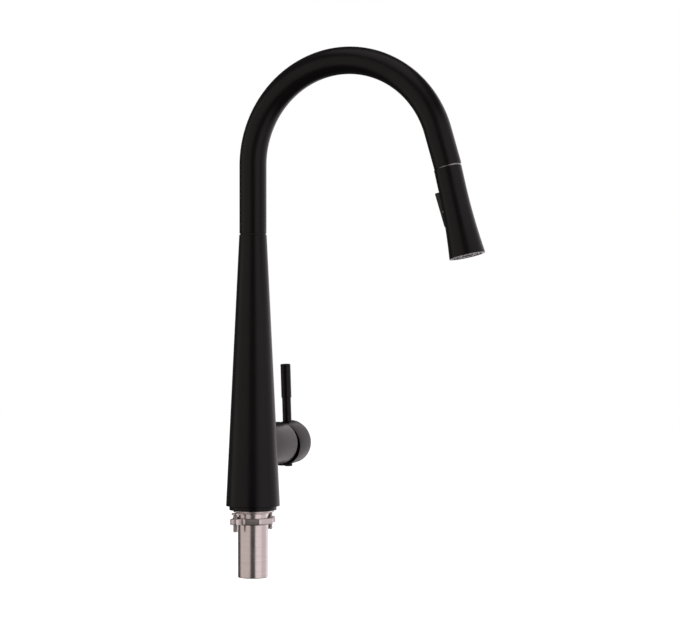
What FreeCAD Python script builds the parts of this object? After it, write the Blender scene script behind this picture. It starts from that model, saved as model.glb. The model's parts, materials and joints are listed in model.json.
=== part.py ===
import FreeCAD, Part
import math
import os

# Pull-down kitchen faucet, side lever, matt black. Millimetres.
# Frame: origin on the column axis at the deck, +Z up, spout towards -Y, lever housing towards +X.

V = FreeCAD.Vector
ORIGIN = V(0, 0, 0)
X, Y, Z = V(1, 0, 0), V(0, 1, 0), V(0, 0, 1)

# ---- clearances -------------------------------------------------------------
running_gap = 0.08       # shaft in its hole, on the radius
slip_gap = 0.1           # piece slid into its seat, on the radius
seat_gap = 0.05          # faces that lie against each other
free_gap = 0.3           # curved faces of pieces that move past each other

# ---- column -----------------------------------------------------------------
base_ring_r = 24.5       # black ring under the column
base_ring_height = 4.2
column_foot_r = 27.9
column_top_r = 14.25
column_top_z = 285.0
column_wall = 3.0
column_neck_length = 53.0    # length of the straight bore at the top
column_edge = 0.5            # small edge break, foot and top
ring_edge = 0.3
seal_width = 4.2
seal_thickness = 1.6
seal_inset = 0.2
base_lip = 3.9               # width of the flat rim that stands on the deck
insert_height = 14.0

# ---- threaded shank and its clamp ---------------------------------------------
shank_r = 15.5
shank_wall = 1.5
shank_length = 70.0          # below the deck
shank_grip = 9.8             # held inside the base insert
shank_foot_round = 1.3
shank_thread_relief = 0.4    # the stretch behind the nut is this much smaller
shank_relief_end = 15.0      # and ends this far below the deck
clamp_line_angle = -21.0     # direction of the two ears, from +X
plate_drop = 0.3             # stored height of the clamp plate below the deck face
plate_thickness = 1.75
plate_r = 20.2
ear_r = 25.0                 # screw centres from the column axis
plate_ear_width = 8.0
nut_top = 8.0
nut_thickness = 6.0
nut_r = 22.6
nut_ear_width = 10.4
nut_ear_reach = 30.6
nut_facets = 8
nut_corner_trim = 0.5
clamp_screw_r = 2.4
clamp_screw_end = 21.6
screw_slot_width = 0.9
screw_slot_depth = 1.4

# ---- valve housing, along +X ----------------------------------------------------
valve_z = 66.2
valve_back_x = -4.0
sleeve_r = 22.5
sleeve_wall = 1.5
sleeve_start_x = 10.0
sleeve_end_x = 63.4
sleeve_edge = 0.6
cup_floor_x = 28.0
cup_bore_r = 17.6
cup_end_x = 61.0
nut_thread_r = 19.2
nut_seat_x = 54.0
port_r = 3.5                 # three hose ports in the underside
port_depth = 12.0
port_face_z = 27.0
port_block_length = 13.6
port_block_width = 28.0
passage_r = 2.2
inlet_x = 4.5
inlet_y = 8.6
outlet_x = 2.4
inlet_level = -8.5           # passages meet the cup this far from the valve axis
outlet_level = 9.0

# ---- cartridge -------------------------------------------------------------------
cartridge_r = 17.5
cartridge_foot_thickness = 3.8
fixed_disc_r = 13.5
fixed_disc_thickness = 3.5
moving_disc_r = 9.0
moving_disc_thickness = 3.0
moving_disc_rim = 3.4        # ceramic left outside the water channel
cavity_r = 15.5
carrier_length = 8.4
carrier_half_width = 7.4
carrier_half_height = 6.5
turn_ring_r = 15.4
turn_ring_web = 4.4
turn_slot_low = -6.4
turn_slot_high = 10.2
neck_big_r = 12.3
neck_r = 8.8
neck_reach = 3.0             # neck ends this far past the ball centre
throat_play = 1.3            # room round the stem in the neck
throat_depth = 4.0
cavity_mouth = 5.6           # room round the arm where the cavity narrows
notch_width = 3.0
notch_length = 2.5
notch_depth = 3.0
dome_rise = 4.2
dome_rim = 1.2
dome_wall = 1.4
dome_crown = 4.0
ball_x = 76.0                # centre of the joystick ball
ball_r = 6.0
arm_r = 3.0
arm_length = 30.5            # ball centre to the tip that moves the disc
tip_r = 2.6
tip_neck_r = 1.9
tip_play = 0.25
tip_room = 1.2
stem_r = 4.0
stem_end_gap = 1.0
stem_hole_room = 0.4
seal_ring_r = 3.4
seal_ring_thickness = 1.0

# ---- handle -----------------------------------------------------------------------
lever_lean = 4.2             # degrees towards the column when closed
cap_r = 22.9
cap_drop = 1.3               # the cap hangs this far below the stem's line
cap_wall = 3.0
cap_back_x = 69.2
cap_front_x = 98.4
cap_front_wall = 5.0
cap_edge = 1.0
cap_back_edge = 0.4
boss_start_x = 82.2
boss_r = 10.5
lever_x = 88.0
lever_stem_r = 4.7
lever_stem_foot = 6.0        # the lever is screwed in to this height above the axis
lever_shoulder = 48.0        # heights above the valve axis, along the lever
lever_top = 83.9
grip_r = 5.35
grip_edge = 0.6
grip_shoulder_edge = 0.3
plug_r = 4.2
plug_reach = 25.4
plug_key_r = 1.6
plug_key_depth = 3.0
hole_reach = 30.0            # holes for the lever and plug are cut from this far out

# ---- spout ------------------------------------------------------------------------
spout_r = 14.0
spout_wall = 1.2
seam_gap = 1.2               # width of the seam above the column
arch_r = 104.4
arch_centre_z = 356.9
end_tilt = 16.45             # spray end leans out from the vertical
end_straight = 37.6
stem_outer_r = 10.0
stem_inner_r = 7.0
stem_foot_z = column_top_z - 49.0
stem_plug_height = 14.0      # length pressed into the spout tube
lower_bush_z = column_top_z - 45.0
lower_bush_length = 10.0
upper_bush_length = 14.0
stop_z = column_top_z - 25.0
stop_screw_r = 1.5
stop_head_r = 2.6
stop_groove_depth = 1.5
stop_seat_depth = 1.6
stop_head_sink = 0.15
stop_key_r = 1.0
stop_key_depth = 0.85
swivel_half_range = 70.0     # degrees each way
clip_thickness = 1.2
clip_groove_depth = 1.2
clip_r = 11.2
clip_opening = 6.0
washer_inset = 0.7

# ---- spray hose -----------------------------------------------------------------
hose_r = 5.5
hose_foot_z = -50.0
hose_shank_x = hose_r + 2 * slip_gap + shank_wall - shank_r    # hose lies along the shank
hose_valve_x = -13.0         # hose centre behind the valve
hose_low_bend_drop = 4.0     # the bend starts this far below the top of the shank
hose_low_bend_r = 60.0
hose_high_bend_z = 98.0
hose_high_bend_r = 80.0
tail_length = 14.0
tail_r = 4.8
tail_ferrule = 6.3           # length of the crimped ferrule
tail_groove_low = 2.5
tail_groove_width = 2.0
tail_groove_depth = 0.9
hose_joint_drop = 0.5        # the upper stretch starts this far below the spout's foot

# ---- spray head, measured down from the seam ----------------------------------------
head_tilt = 13.3             # the docked head hangs a little steeper than the spout's end
head_slip = 0.5              # and sits this far towards the column
head_gap = 1.0
head_length = 92.3
head_top_r = 14.05
head_straight = 17.0
head_flare = 0.00076         # radius gained per mm squared below the straight part
head_wall = 1.8
head_top_wall = 2.5
neck_collar_r = 12.4         # bright collar seen in the seam
neck_collar_top = 0.9
neck_thread_r = 10.5
neck_nose_r = 9.5
neck_nose_length = 14.0
neck_nose_edge = 0.6
neck_thread_length = 8.95
neck_bore_r = 7.0
neck_plate_thickness = 0.8
connector_flange_r = 8.1
connector_flange_top = 4.3
connector_flange_length = 4.0
connector_bore_r = 3.0
connector_sink = 1.0         # its top is this far inside the nose
insert_top = 30.0
insert_shelf = 16.0
insert_shelf_thickness = 1.0
insert_pocket_r = 11.7
dock_gap = 0.25
lead_in = 0.6
lead_in_depth = 1.5
magnet_thickness = 4.0
check_valve_r = 6.9
check_valve_top = 10.6
check_valve_length = 15.4
check_valve_bore_r = 2.6
waterway_top = 10.0
waterway_foot = 78.0
waterway_gap = 0.2
outlet_r = 6.0
outlet_depth = 10.0
outlet_cone = 3.0
spool_r = 3.0
spool_top = 33.0
spool_length = 22.0
spool_groove = 3.3
spool_core_r = 1.4
face_thickness = 4.0
face_recess = 0.5
face_ring_width = 2.2
face_ring_inset = 0.25
face_ring_edge = 0.2
face_ring_skirt = 3.0
face_ring_skirt_inset = 0.9
aerator_r = 7.0
aerator_length = 9.0
aerator_rim = 1.4
aerator_recess = 1.2
nozzle_rows = ((10.2, 14), (13.6, 20))      # pitch radius and count of the spray nozzles
nozzle_r = 0.75
nozzle_stand = 0.7
mat_thickness = 1.0
mat_inset = 1.0

# ---- rocker button on the spray head ---------------------------------------------
rocker_top = 23.5
rocker_foot = 59.0
rocker_half_width = 6.4
rocker_proud = 4.0
rocker_depth = 10.3          # inner face from the head axis
rocker_pivot = 44.0
rocker_pivot_r = 11.5
rocker_pin_r = 1.0
rocker_edge = 0.8
rocker_wall = 1.5
rocker_hollow = 2.6
hub_half_height = 2.4
hub_front = 1.8
pin_overhang = 1.9
window_gap = 0.35
window_top_gap = 1.1
pocket_floor = 6.5
pocket_side_room = 1.0
pocket_end_room = 3.0
finger_r = 1.3
finger_tip = 1.8
finger_root = 3.4
finger_swing = 1.6
finger_side_room = 0.5


# ---- helpers ---------------------------------------------------------------------
def rod(radius, start, end):
    """Solid cylinder between two points."""
    span = end - start
    return Part.makeCylinder(radius, span.Length, start, span)


def pipe(outer, inner, start, end):
    """Hollow cylinder between two points."""
    return rod(outer, start, end).cut(rod(inner, start, end))


def turned(profile):
    """Closed outline of (radius, height) points spun about Z."""
    points = [V(radius, 0, height) for radius, height in profile]
    face = Part.Face(Part.makePolygon(points + points[:1]))
    return face.revolve(ORIGIN, Z, 360)


def spun_edges(edges):
    """Closed outline of edges in the XZ plane spun about Z."""
    face = Part.Face(Part.Wire(Part.__sortEdges__(edges)))
    return face.revolve(ORIGIN, Z, 360)


def block(low, high):
    """Box between two corners."""
    size = high - low
    return Part.makeBox(size.x, size.y, size.z, low)


def to_valve_axis(shape):
    """Turn a shape made about Z to lie along +X at the valve's height."""
    shape.rotate(ORIGIN, Y, 90)
    shape.translate(V(0, 0, valve_z))
    return shape


def valve_turned(profile):
    """Outline of (radius, x) points spun about the valve axis."""
    return to_valve_axis(turned(profile))


def valve_rod(radius, x_start, x_end, y=0.0, rise=0.0):
    """Cylinder along +X beside the valve axis."""
    return rod(radius, V(x_start, y, valve_z + rise), V(x_end, y, valve_z + rise))


def lean(shape, drop=0.0):
    """Tilt a handle piece about the ball to its closed position."""
    shape.rotate(V(ball_x, 0, valve_z), Y, -lever_lean)
    shape.translate(V(0, 0, -drop))
    return shape


def dock(shape):
    """Move a piece made hanging below the origin on to the tilted end of the spout."""
    shape.rotate(ORIGIN, X, -end_tilt)
    shape.translate(seam_point)
    return shape


def hang(shape):
    """Move a piece made hanging below the origin to the spray head's own axis."""
    shape.rotate(ORIGIN, X, -head_tilt)
    shape.translate(head_point)
    return shape


def fused(first, others):
    """One solid from touching pieces, with their shared faces merged."""
    return first.multiFuse(others).removeSplitter()


# ---- places worked out from the sizes -----------------------------------------------
column_slope = (column_foot_r - column_top_r) / (column_top_z - base_ring_height)
tilt = math.radians(end_tilt)
end_direction = V(0, -math.sin(tilt), -math.cos(tilt))
arch_end = V(0, -arch_r * (1 + math.cos(tilt)), arch_centre_z + arch_r * math.sin(tilt))
seam_point = arch_end + end_direction * end_straight
head_point = seam_point + V(0, math.cos(tilt), -math.sin(tilt)) * head_slip
spout_foot_z = column_top_z + seam_gap
spout_bore_r = spout_r - spout_wall
neck_bore_column_r = stem_outer_r + 1.8
foot_start_x = cup_floor_x + seat_gap
fixed_disc_x = cup_floor_x + seat_gap + cartridge_foot_thickness
moving_disc_x = fixed_disc_x + fixed_disc_thickness + seat_gap
carrier_x = moving_disc_x + moving_disc_thickness
tip_x = ball_x - arm_length
turn_web_x = carrier_x + carrier_length + slip_gap * 5
turn_end_x = turn_web_x + turn_ring_web
cavity_end_x = turn_end_x + free_gap
clamp_direction = V(math.cos(math.radians(clamp_line_angle)), math.sin(math.radians(clamp_line_angle)), 0)
ear_foot = plate_drop + plate_thickness * 2


def column_r(z):
    """Outer radius of the tapered column at a height."""
    return column_foot_r - column_slope * (z - base_ring_height)


def head_r(depth):
    """Outer radius of the spray head at a depth below the seam."""
    return head_top_r + head_flare * max(0.0, depth - head_straight) ** 2


# ---- base and column ---------------------------------------------------------------
def base_ring():
    inner = shank_r + free_gap
    step = base_ring_r - base_lip
    return turned([(inner, seal_thickness), (step, seal_thickness), (step, 0), (base_ring_r - ring_edge, 0),
                   (base_ring_r, ring_edge), (base_ring_r, base_ring_height), (inner, base_ring_height)])


def base_seal():
    outer = base_ring_r - base_lip - seal_inset
    return pipe(outer, outer - seal_width, ORIGIN, V(0, 0, seal_thickness))


def base_insert():
    low = base_ring_height
    high = base_ring_height + insert_height
    bore = shank_r - shank_thread_relief + seat_gap
    rim = column_wall + slip_gap
    return turned([(bore, low), (column_r(low) - rim, low), (column_r(high) - rim, high), (bore, high)])


def body_shell():
    low, high = base_ring_height, column_top_z
    shoulder = column_top_z - column_neck_length
    shell = turned([
        (column_r(low) - column_wall, low),
        (column_r(low) - column_edge, low),
        (column_r(low), low + column_edge),
        (column_r(high), high - column_edge),
        (column_r(high) - column_edge, high),
        (neck_bore_column_r, high),
        (neck_bore_column_r, shoulder),
        (column_r(shoulder) - column_wall, shoulder - 2),
    ])
    side_hole = valve_rod(sleeve_r + slip_gap, sleeve_start_x - 5, column_foot_r + 5)
    stop_hole = rod(stop_screw_r + seat_gap, V(0, 0, stop_z), V(0, column_foot_r, stop_z))
    seat_start = column_r(stop_z) - stop_seat_depth
    stop_seat = rod(stop_head_r + seat_gap, V(0, seat_start, stop_z), V(0, column_foot_r, stop_z))
    return shell.cut(side_hole.fuse(stop_hole).fuse(stop_seat))


def shank_tube():
    bore = shank_r - shank_wall
    relief = shank_r - shank_thread_relief
    foot = -shank_length
    top = base_ring_height + shank_grip
    tube = turned([(bore, foot), (shank_r, foot), (shank_r, -shank_relief_end), (relief, -shank_relief_end),
                   (relief, top), (bore, top)])
    foot_edges = [edge for edge in tube.Edges
                  if abs(edge.BoundBox.ZMax - foot) < 0.01 and abs(edge.BoundBox.XMax - shank_r) < 0.01]
    return tube.makeFillet(shank_foot_round, foot_edges)


# ---- clamp under the deck --------------------------------------------------------
def ears(reach, width, low, high):
    """Bar with rounded ends through the column axis, along the clamp line."""
    half = width / 2
    bar = block(V(-(reach - half), -half, low), V(reach - half, half, high))
    centres = [reach - half, half - reach]
    ends = [rod(half, V(centre, 0, low), V(centre, 0, high)) for centre in centres]
    bar = fused(bar, ends)
    bar.rotate(ORIGIN, Z, clamp_line_angle)
    return bar


def clamp_plate():
    top = -plate_drop
    joggle = top - plate_thickness
    disc = rod(plate_r, V(0, 0, joggle), V(0, 0, top))
    low_ears = ears(ear_r + plate_ear_width / 2, plate_ear_width, joggle - plate_thickness, joggle)
    bore = rod(shank_r + free_gap, V(0, 0, -20), V(0, 0, 5))
    return fused(disc, [low_ears]).cut(bore)


def ring_nut():
    top, foot = -nut_top, -nut_top - nut_thickness
    angles = [2 * math.pi * side / nut_facets for side in range(nut_facets)]
    corners = [V(nut_r * math.cos(angle), nut_r * math.sin(angle), foot) for angle in angles]
    ring = Part.Face(Part.makePolygon(corners + corners[:1])).extrude(V(0, 0, nut_thickness))
    ring = ring.common(rod(nut_r - nut_corner_trim, V(0, 0, foot), V(0, 0, top)))
    lugs = ears(nut_ear_reach, nut_ear_width, foot, top)
    bore = rod(shank_r + slip_gap, V(0, 0, foot - 1), V(0, 0, top + 1))
    nut = fused(ring, [lugs]).cut(bore)
    for side in (-1, 1):
        centre = clamp_direction * (ear_r * side)
        nut = nut.cut(rod(clamp_screw_r + seat_gap, centre + V(0, 0, foot - 1), centre + V(0, 0, top + 1)))
    return nut


def clamp_screws():
    screws = []
    for side in (-1, 1):
        centre = clamp_direction * (ear_r * side)
        foot = centre + V(0, 0, -clamp_screw_end)
        screw = rod(clamp_screw_r, foot, centre + V(0, 0, -ear_foot - seat_gap))
        slot = block(V(-clamp_screw_r * 2, -screw_slot_width / 2, 0),
                     V(clamp_screw_r * 2, screw_slot_width / 2, screw_slot_depth))
        slot.translate(foot)
        screws.append(screw.cut(slot))
    return Part.makeCompound(screws)


# ---- valve ---------------------------------------------------------------------------
def valve_body():
    outer = sleeve_r - sleeve_wall - slip_gap
    cup = valve_turned([(0, valve_back_x), (outer, valve_back_x), (outer, cup_end_x),
                        (nut_thread_r, cup_end_x), (nut_thread_r, nut_seat_x), (cup_bore_r, nut_seat_x),
                        (cup_bore_r, cup_floor_x), (0, cup_floor_x)])
    ports = block(V(valve_back_x, -port_block_width / 2, port_face_z),
                  V(valve_back_x + port_block_length, port_block_width / 2, valve_z - 10))
    body = fused(cup, [ports])
    routes = [(inlet_x, inlet_y, inlet_level), (inlet_x, -inlet_y, inlet_level), (outlet_x, 0, outlet_level)]
    for x, y, level in routes:
        mouth = V(x, y, port_face_z)
        port = rod(port_r, mouth - Z, mouth + Z * port_depth)
        riser = rod(passage_r, mouth, V(x, y, valve_z + level))
        feed = valve_rod(passage_r, x, cup_floor_x + 1, y, level)
        body = body.cut(port.fuse(riser).fuse(feed))
    return body


def port_places():
    """Height and side offsets of the three water ways, from the valve axis."""
    return [(inlet_y, inlet_level), (-inlet_y, inlet_level), (0, outlet_level)]


def water_ways(x_start, x_end, radius):
    """Three holes along the valve axis."""
    holes = [valve_rod(radius, x_start, x_end, y, level) for y, level in port_places()]
    return holes[0].multiFuse(holes[1:])


def cartridge_foot():
    start = foot_start_x
    foot = valve_turned([(0, start), (cartridge_r, start), (cartridge_r, fixed_disc_x), (0, fixed_disc_x)])
    seats = water_ways(start - 1, start + seal_ring_thickness, seal_ring_r)
    return foot.cut(seats.fuse(water_ways(start - 1, fixed_disc_x + 1, passage_r)))


def cartridge_seals():
    start = foot_start_x
    end = start + seal_ring_thickness
    rings = []
    for y, level in port_places():
        outer = valve_rod(seal_ring_r - seat_gap, start, end - seat_gap, y, level)
        rings.append(outer.cut(valve_rod(passage_r, start - 1, end + 1, y, level)))
    return Part.makeCompound(rings)


def ceramic_disc_fixed():
    disc = valve_rod(fixed_disc_r, fixed_disc_x, fixed_disc_x + fixed_disc_thickness)
    return disc.cut(water_ways(fixed_disc_x - 1, moving_disc_x + 1, passage_r))


def ceramic_disc_moving():
    drop = -arm_length * math.sin(math.radians(lever_lean))
    disc = valve_rod(moving_disc_r, moving_disc_x, carrier_x, 0, drop)
    channel_end = moving_disc_x + moving_disc_thickness / 2
    channel = valve_rod(moving_disc_r - moving_disc_rim, moving_disc_x - 1, channel_end, 0, drop)
    return disc.cut(channel)


def disc_carrier():
    drop = -arm_length * math.sin(math.radians(lever_lean))
    level = valve_z + drop
    end = carrier_x + carrier_length
    carrier = block(V(carrier_x, -carrier_half_width, level - carrier_half_height),
                    V(end, carrier_half_width, level + carrier_half_height))
    socket = valve_rod(tip_r + tip_play, tip_x - tip_r - tip_room, end + 1, 0, drop)
    return carrier.cut(socket)


def turn_ring():
    start = carrier_x + free_gap
    ring = valve_turned([(0, start), (turn_ring_r, start), (turn_ring_r, turn_end_x), (0, turn_end_x)])
    guide = block(V(carrier_x - 1, -carrier_half_width - slip_gap, valve_z - turn_ring_r - 1),
                  V(turn_web_x, carrier_half_width + slip_gap, valve_z + turn_ring_r + 1))
    slot = block(V(turn_web_x - 1, -arm_r - free_gap, valve_z + turn_slot_low),
                 V(turn_end_x + 1, arm_r + free_gap, valve_z + turn_slot_high))
    return ring.cut(guide.fuse(slot))


def cartridge_body():
    start = fixed_disc_x
    shoulder = nut_seat_x - seat_gap
    neck_end = ball_x + neck_reach
    throat = stem_r + throat_play
    disc_end = start + fixed_disc_thickness
    body = valve_turned([
        (fixed_disc_r + slip_gap, start), (cartridge_r, start), (cartridge_r, shoulder),
        (neck_big_r, shoulder), (neck_big_r, cup_end_x), (neck_r, cup_end_x + 1), (neck_r, neck_end),
        (throat, neck_end), (throat, ball_x), (throat, ball_x - throat_depth),
        (arm_r + cavity_mouth, cavity_end_x), (cavity_r, cavity_end_x), (cavity_r, disc_end),
        (fixed_disc_r + slip_gap, disc_end)])
    socket = Part.makeSphere(ball_r + free_gap, V(ball_x, 0, valve_z))
    return body.cut(socket)


def cartridge_nut():
    inner, outer, end = neck_big_r + slip_gap, nut_thread_r - slip_gap, cup_end_x - 2 * slip_gap
    nut = valve_turned([(inner, nut_seat_x), (outer, nut_seat_x), (outer, end), (inner, end)])
    for turn in range(6):
        notch = block(V(cup_end_x - notch_length, -notch_width / 2,
                        valve_z + nut_thread_r - notch_depth),
                      V(cup_end_x + 1, notch_width / 2, valve_z + nut_thread_r + 1))
        notch.rotate(V(0, 0, valve_z), X, 60 * turn)
        nut = nut.cut(notch)
    return nut


def valve_sleeve():
    inner = sleeve_r - sleeve_wall
    return valve_turned([(inner, sleeve_start_x), (sleeve_r, sleeve_start_x),
                         (sleeve_r, sleeve_end_x - sleeve_edge), (sleeve_r - sleeve_edge, sleeve_end_x),
                         (inner, sleeve_end_x)])


def dome_cover():
    rim = sleeve_r - sleeve_wall - slip_gap
    start = cup_end_x + seat_gap
    hub = neck_r + slip_gap
    shoulder = neck_big_r + 2 * free_gap
    crown = start + dome_rise
    return valve_turned([(rim, start), (rim, start + dome_rim), (hub + dome_crown, crown - 2 * free_gap),
                         (hub, crown), (hub, crown - dome_wall), (shoulder, start + dome_wall),
                         (shoulder, start)])


# ---- handle --------------------------------------------------------------------------
def joystick_stem():
    ball = Part.makeSphere(ball_r, V(ball_x, 0, valve_z))
    stem = valve_rod(stem_r, ball_x, cap_front_x - cap_front_wall - stem_end_gap)
    arm = valve_rod(arm_r, tip_x + tip_r, ball_x)
    neck = valve_rod(tip_neck_r, tip_x, tip_x + tip_r + 1)
    tip = Part.makeSphere(tip_r, V(tip_x, 0, valve_z))
    return lean(fused(ball, [stem, arm, neck, tip]))


def handle_cap():
    inner = cap_r - cap_wall
    front = cap_front_x - cap_front_wall
    cap = turned([(inner, cap_back_x), (cap_r - cap_back_edge, cap_back_x),
                  (cap_r, cap_back_x + cap_back_edge), (cap_r, cap_front_x), (0, cap_front_x),
                  (0, boss_start_x), (boss_r, boss_start_x), (boss_r, front), (inner, front)])
    rim = [edge for edge in cap.Edges
           if abs(edge.BoundBox.ZMin - cap_front_x) < 0.01 and edge.BoundBox.XMax > cap_r - 0.01]
    cap = to_valve_axis(cap.makeFillet(cap_edge, rim))
    middle = V(lever_x, 0, valve_z)
    lever_hole = rod(lever_stem_r + seat_gap, middle + Z * lever_stem_foot, middle + Z * hole_reach)
    plug_hole = rod(plug_r + seat_gap, middle, middle - Z * hole_reach)
    stem_hole_end = front - stem_end_gap + stem_hole_room
    stem_hole = lean(valve_rod(stem_r + seat_gap, boss_start_x - 1, stem_hole_end))
    return lean(cap.cut(lever_hole.fuse(plug_hole)), cap_drop).cut(stem_hole)


def lever_stem():
    middle = V(lever_x, 0, valve_z)
    return lean(rod(lever_stem_r, middle + Z * lever_stem_foot, middle + Z * lever_shoulder), cap_drop)


def lever_grip():
    grip = turned([(0, lever_shoulder), (grip_r - grip_shoulder_edge, lever_shoulder),
                   (grip_r, lever_shoulder + grip_shoulder_edge), (grip_r, lever_top - grip_edge),
                   (grip_r - grip_edge, lever_top), (0, lever_top)])
    grip.translate(V(lever_x, 0, valve_z))
    return lean(grip, cap_drop)


def cap_plug():
    foot = V(lever_x, 0, valve_z - plug_reach)
    plug = rod(plug_r, foot, V(lever_x, 0, valve_z - stem_r - seat_gap + cap_drop))
    key = rod(plug_key_r, foot, foot + Z * plug_key_depth)
    stem_way = lean(valve_rod(stem_r + seat_gap, boss_start_x, cap_front_x))
    return lean(plug.cut(key), cap_drop).cut(stem_way)


# ---- spout swivel ----------------------------------------------------------------
def swivel_bush(low, high):
    return pipe(neck_bore_column_r - seat_gap, stem_outer_r + running_gap, Z * low, Z * high)


def swivel_bush_lower():
    return swivel_bush(lower_bush_z, lower_bush_z + lower_bush_length)


def swivel_bush_upper():
    return swivel_bush(column_top_z - upper_bush_length, column_top_z)


def swivel_washer():
    outer = spout_r - washer_inset
    return pipe(outer, stem_outer_r + free_gap, Z * column_top_z, Z * (spout_foot_z - seat_gap))


def swivel_stem():
    plug_top = spout_foot_z + stem_plug_height
    stem = turned([(stem_inner_r, stem_foot_z), (stem_outer_r, stem_foot_z), (stem_outer_r, spout_foot_z),
                   (spout_bore_r - seat_gap, spout_foot_z), (spout_bore_r - seat_gap, plug_top),
                   (stem_inner_r, plug_top)])
    clip_low = lower_bush_z - clip_thickness - free_gap
    clip_high = clip_low + clip_thickness + 2 * seat_gap
    clip_groove = pipe(stem_outer_r + 1, stem_outer_r - clip_groove_depth, Z * clip_low, Z * clip_high)
    core_r = stem_outer_r - stop_groove_depth
    half_height = stop_screw_r + free_gap
    sweep = 2 * (swivel_half_range + math.degrees(math.asin(half_height / core_r)))
    low, high = stop_z - half_height, stop_z + half_height
    stop_groove = Part.makeCylinder(stem_outer_r + 1, high - low, Z * low, Z, sweep)
    stop_groove.rotate(ORIGIN, Z, 90 - sweep / 2)
    core = rod(core_r, Z * (low - 1), Z * (high + 1))
    return stem.cut(clip_groove).cut(stop_groove.cut(core))


def retaining_clip():
    low = lower_bush_z - clip_thickness - free_gap + seat_gap
    high = low + clip_thickness
    half = clip_opening / 2
    ring = pipe(clip_r, stem_outer_r - clip_groove_depth + seat_gap, Z * low, Z * high)
    return ring.cut(block(V(-half, -clip_r - 1, low - 1), V(half, 0, high + 1)))


def stop_screw():
    tip = stem_outer_r - stop_groove_depth + free_gap
    head_start = column_r(stop_z) - stop_seat_depth + seat_gap
    head_end = column_r(stop_z) - stop_head_sink
    shaft = rod(stop_screw_r, V(0, tip, stop_z), V(0, head_start, stop_z))
    head = rod(stop_head_r, V(0, head_start, stop_z), V(0, head_end, stop_z))
    key = rod(stop_key_r, V(0, head_end - stop_key_depth, stop_z), V(0, head_end + 1, stop_z))
    return fused(shaft, [head]).cut(key)


# ---- spout tube and what it carries ------------------------------------------------
def bent_rod(radius, foot_z, end_depth):
    """Round bar that follows the spout's centre line, up to a depth along its straight end."""
    leg = rod(radius, V(0, 0, foot_z), V(0, 0, arch_centre_z))
    disc = Part.Face(Part.Wire(Part.makeCircle(radius, V(0, 0, arch_centre_z), Z)))
    arch = disc.revolve(V(0, -arch_r, arch_centre_z), X, 180 - end_tilt)
    end = rod(radius, arch_end, seam_point + end_direction * end_depth)
    return fused(leg, [arch, end])


def spout_tube():
    return bent_rod(spout_r, spout_foot_z, 0.0).cut(bent_rod(spout_bore_r, spout_foot_z - 1, 1.0))


def spray_hose_upper():
    return bent_rod(hose_r, spout_foot_z - hose_joint_drop, -insert_top)


def side_step(radius, start, shift):
    """Points of a sideways S from one vertical run to another: two equal arcs."""
    turn = math.acos(1 - abs(shift) / (2 * radius))
    rise = radius * math.sin(turn)
    way = math.copysign(1, shift)
    part = turn / 2

    def on_arc(angle):
        return start + V(way * radius * (1 - math.cos(angle)), 0, radius * math.sin(angle))

    middle = start + V(shift / 2, 0, rise)
    end = start + V(shift, 0, 2 * rise)
    first = Part.Arc(start, on_arc(part), middle)
    second = Part.Arc(middle, end - (on_arc(part) - start), end)
    return [first.toShape(), second.toShape()], end


def spray_hose_lower():
    start = V(hose_shank_x, 0, hose_foot_z)
    bend_1 = V(hose_shank_x, 0, base_ring_height + shank_grip - hose_low_bend_drop)
    arcs_1, end_1 = side_step(hose_low_bend_r, bend_1, hose_valve_x - hose_shank_x)
    bend_2 = V(hose_valve_x, 0, hose_high_bend_z)
    arcs_2, end_2 = side_step(hose_high_bend_r, bend_2, -hose_valve_x)
    top = Z * (spout_foot_z - hose_joint_drop - slip_gap)
    runs = [Part.makeLine(start, bend_1)] + arcs_1 + [Part.makeLine(end_1, bend_2)] + arcs_2
    path = Part.Wire(runs + [Part.makeLine(end_2, top)])
    section = Part.Wire(Part.makeCircle(hose_r, start, Z))
    hose = path.makePipeShell([section], True, False)
    expected = math.pi * hose_r ** 2 * path.Length
    print("lower hose radii", hose_low_bend_r, hose_high_bend_r)
    print("lower hose volume over section times length", round(hose.Volume / expected, 4))
    return hose


def hose_tail():
    foot = V(hose_shank_x, 0, hose_foot_z - tail_length)
    top = V(hose_shank_x, 0, hose_foot_z)
    ferrule = rod(hose_r - slip_gap, top - Z * tail_ferrule, top)
    nipple = rod(tail_r, foot, top)
    groove_low = foot + Z * tail_groove_low
    groove = pipe(tail_r + 1, tail_r - tail_groove_depth, groove_low, groove_low + Z * tail_groove_width)
    return fused(ferrule, [nipple]).cut(rod(connector_bore_r, foot - Z, top + Z)).cut(groove)


def dock_insert():
    outer = spout_bore_r - slip_gap
    shelf = insert_shelf - insert_shelf_thickness
    nose = neck_nose_r + dock_gap
    foot = neck_collar_top + free_gap
    bore = neck_bore_r + 2 * slip_gap
    return dock(turned([(outer, insert_top), (outer, foot), (nose + lead_in, foot),
                        (nose, foot + lead_in_depth), (nose, shelf), (bore, shelf), (bore, insert_shelf),
                        (insert_pocket_r, insert_shelf), (insert_pocket_r, insert_top)]))


def dock_magnet():
    low = V(0, 0, insert_shelf + seat_gap)
    bore = neck_bore_r + 2 * free_gap
    return dock(pipe(insert_pocket_r - slip_gap, bore, low, low + Z * magnet_thickness))


# ---- end of the hose --------------------------------------------------------------
def spray_hose_end():
    return dock(rod(hose_r, Z * (neck_nose_length - connector_sink), Z * insert_top))


def hose_connector():
    top = neck_nose_length - connector_sink
    outer = neck_bore_r - running_gap
    flange_top = -connector_flange_top
    flange_foot = flange_top - connector_flange_length
    return dock(turned([(connector_bore_r, top), (outer, top), (outer, flange_top),
                        (connector_flange_r, flange_top), (connector_flange_r, flange_foot),
                        (connector_bore_r, flange_foot)]))


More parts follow.
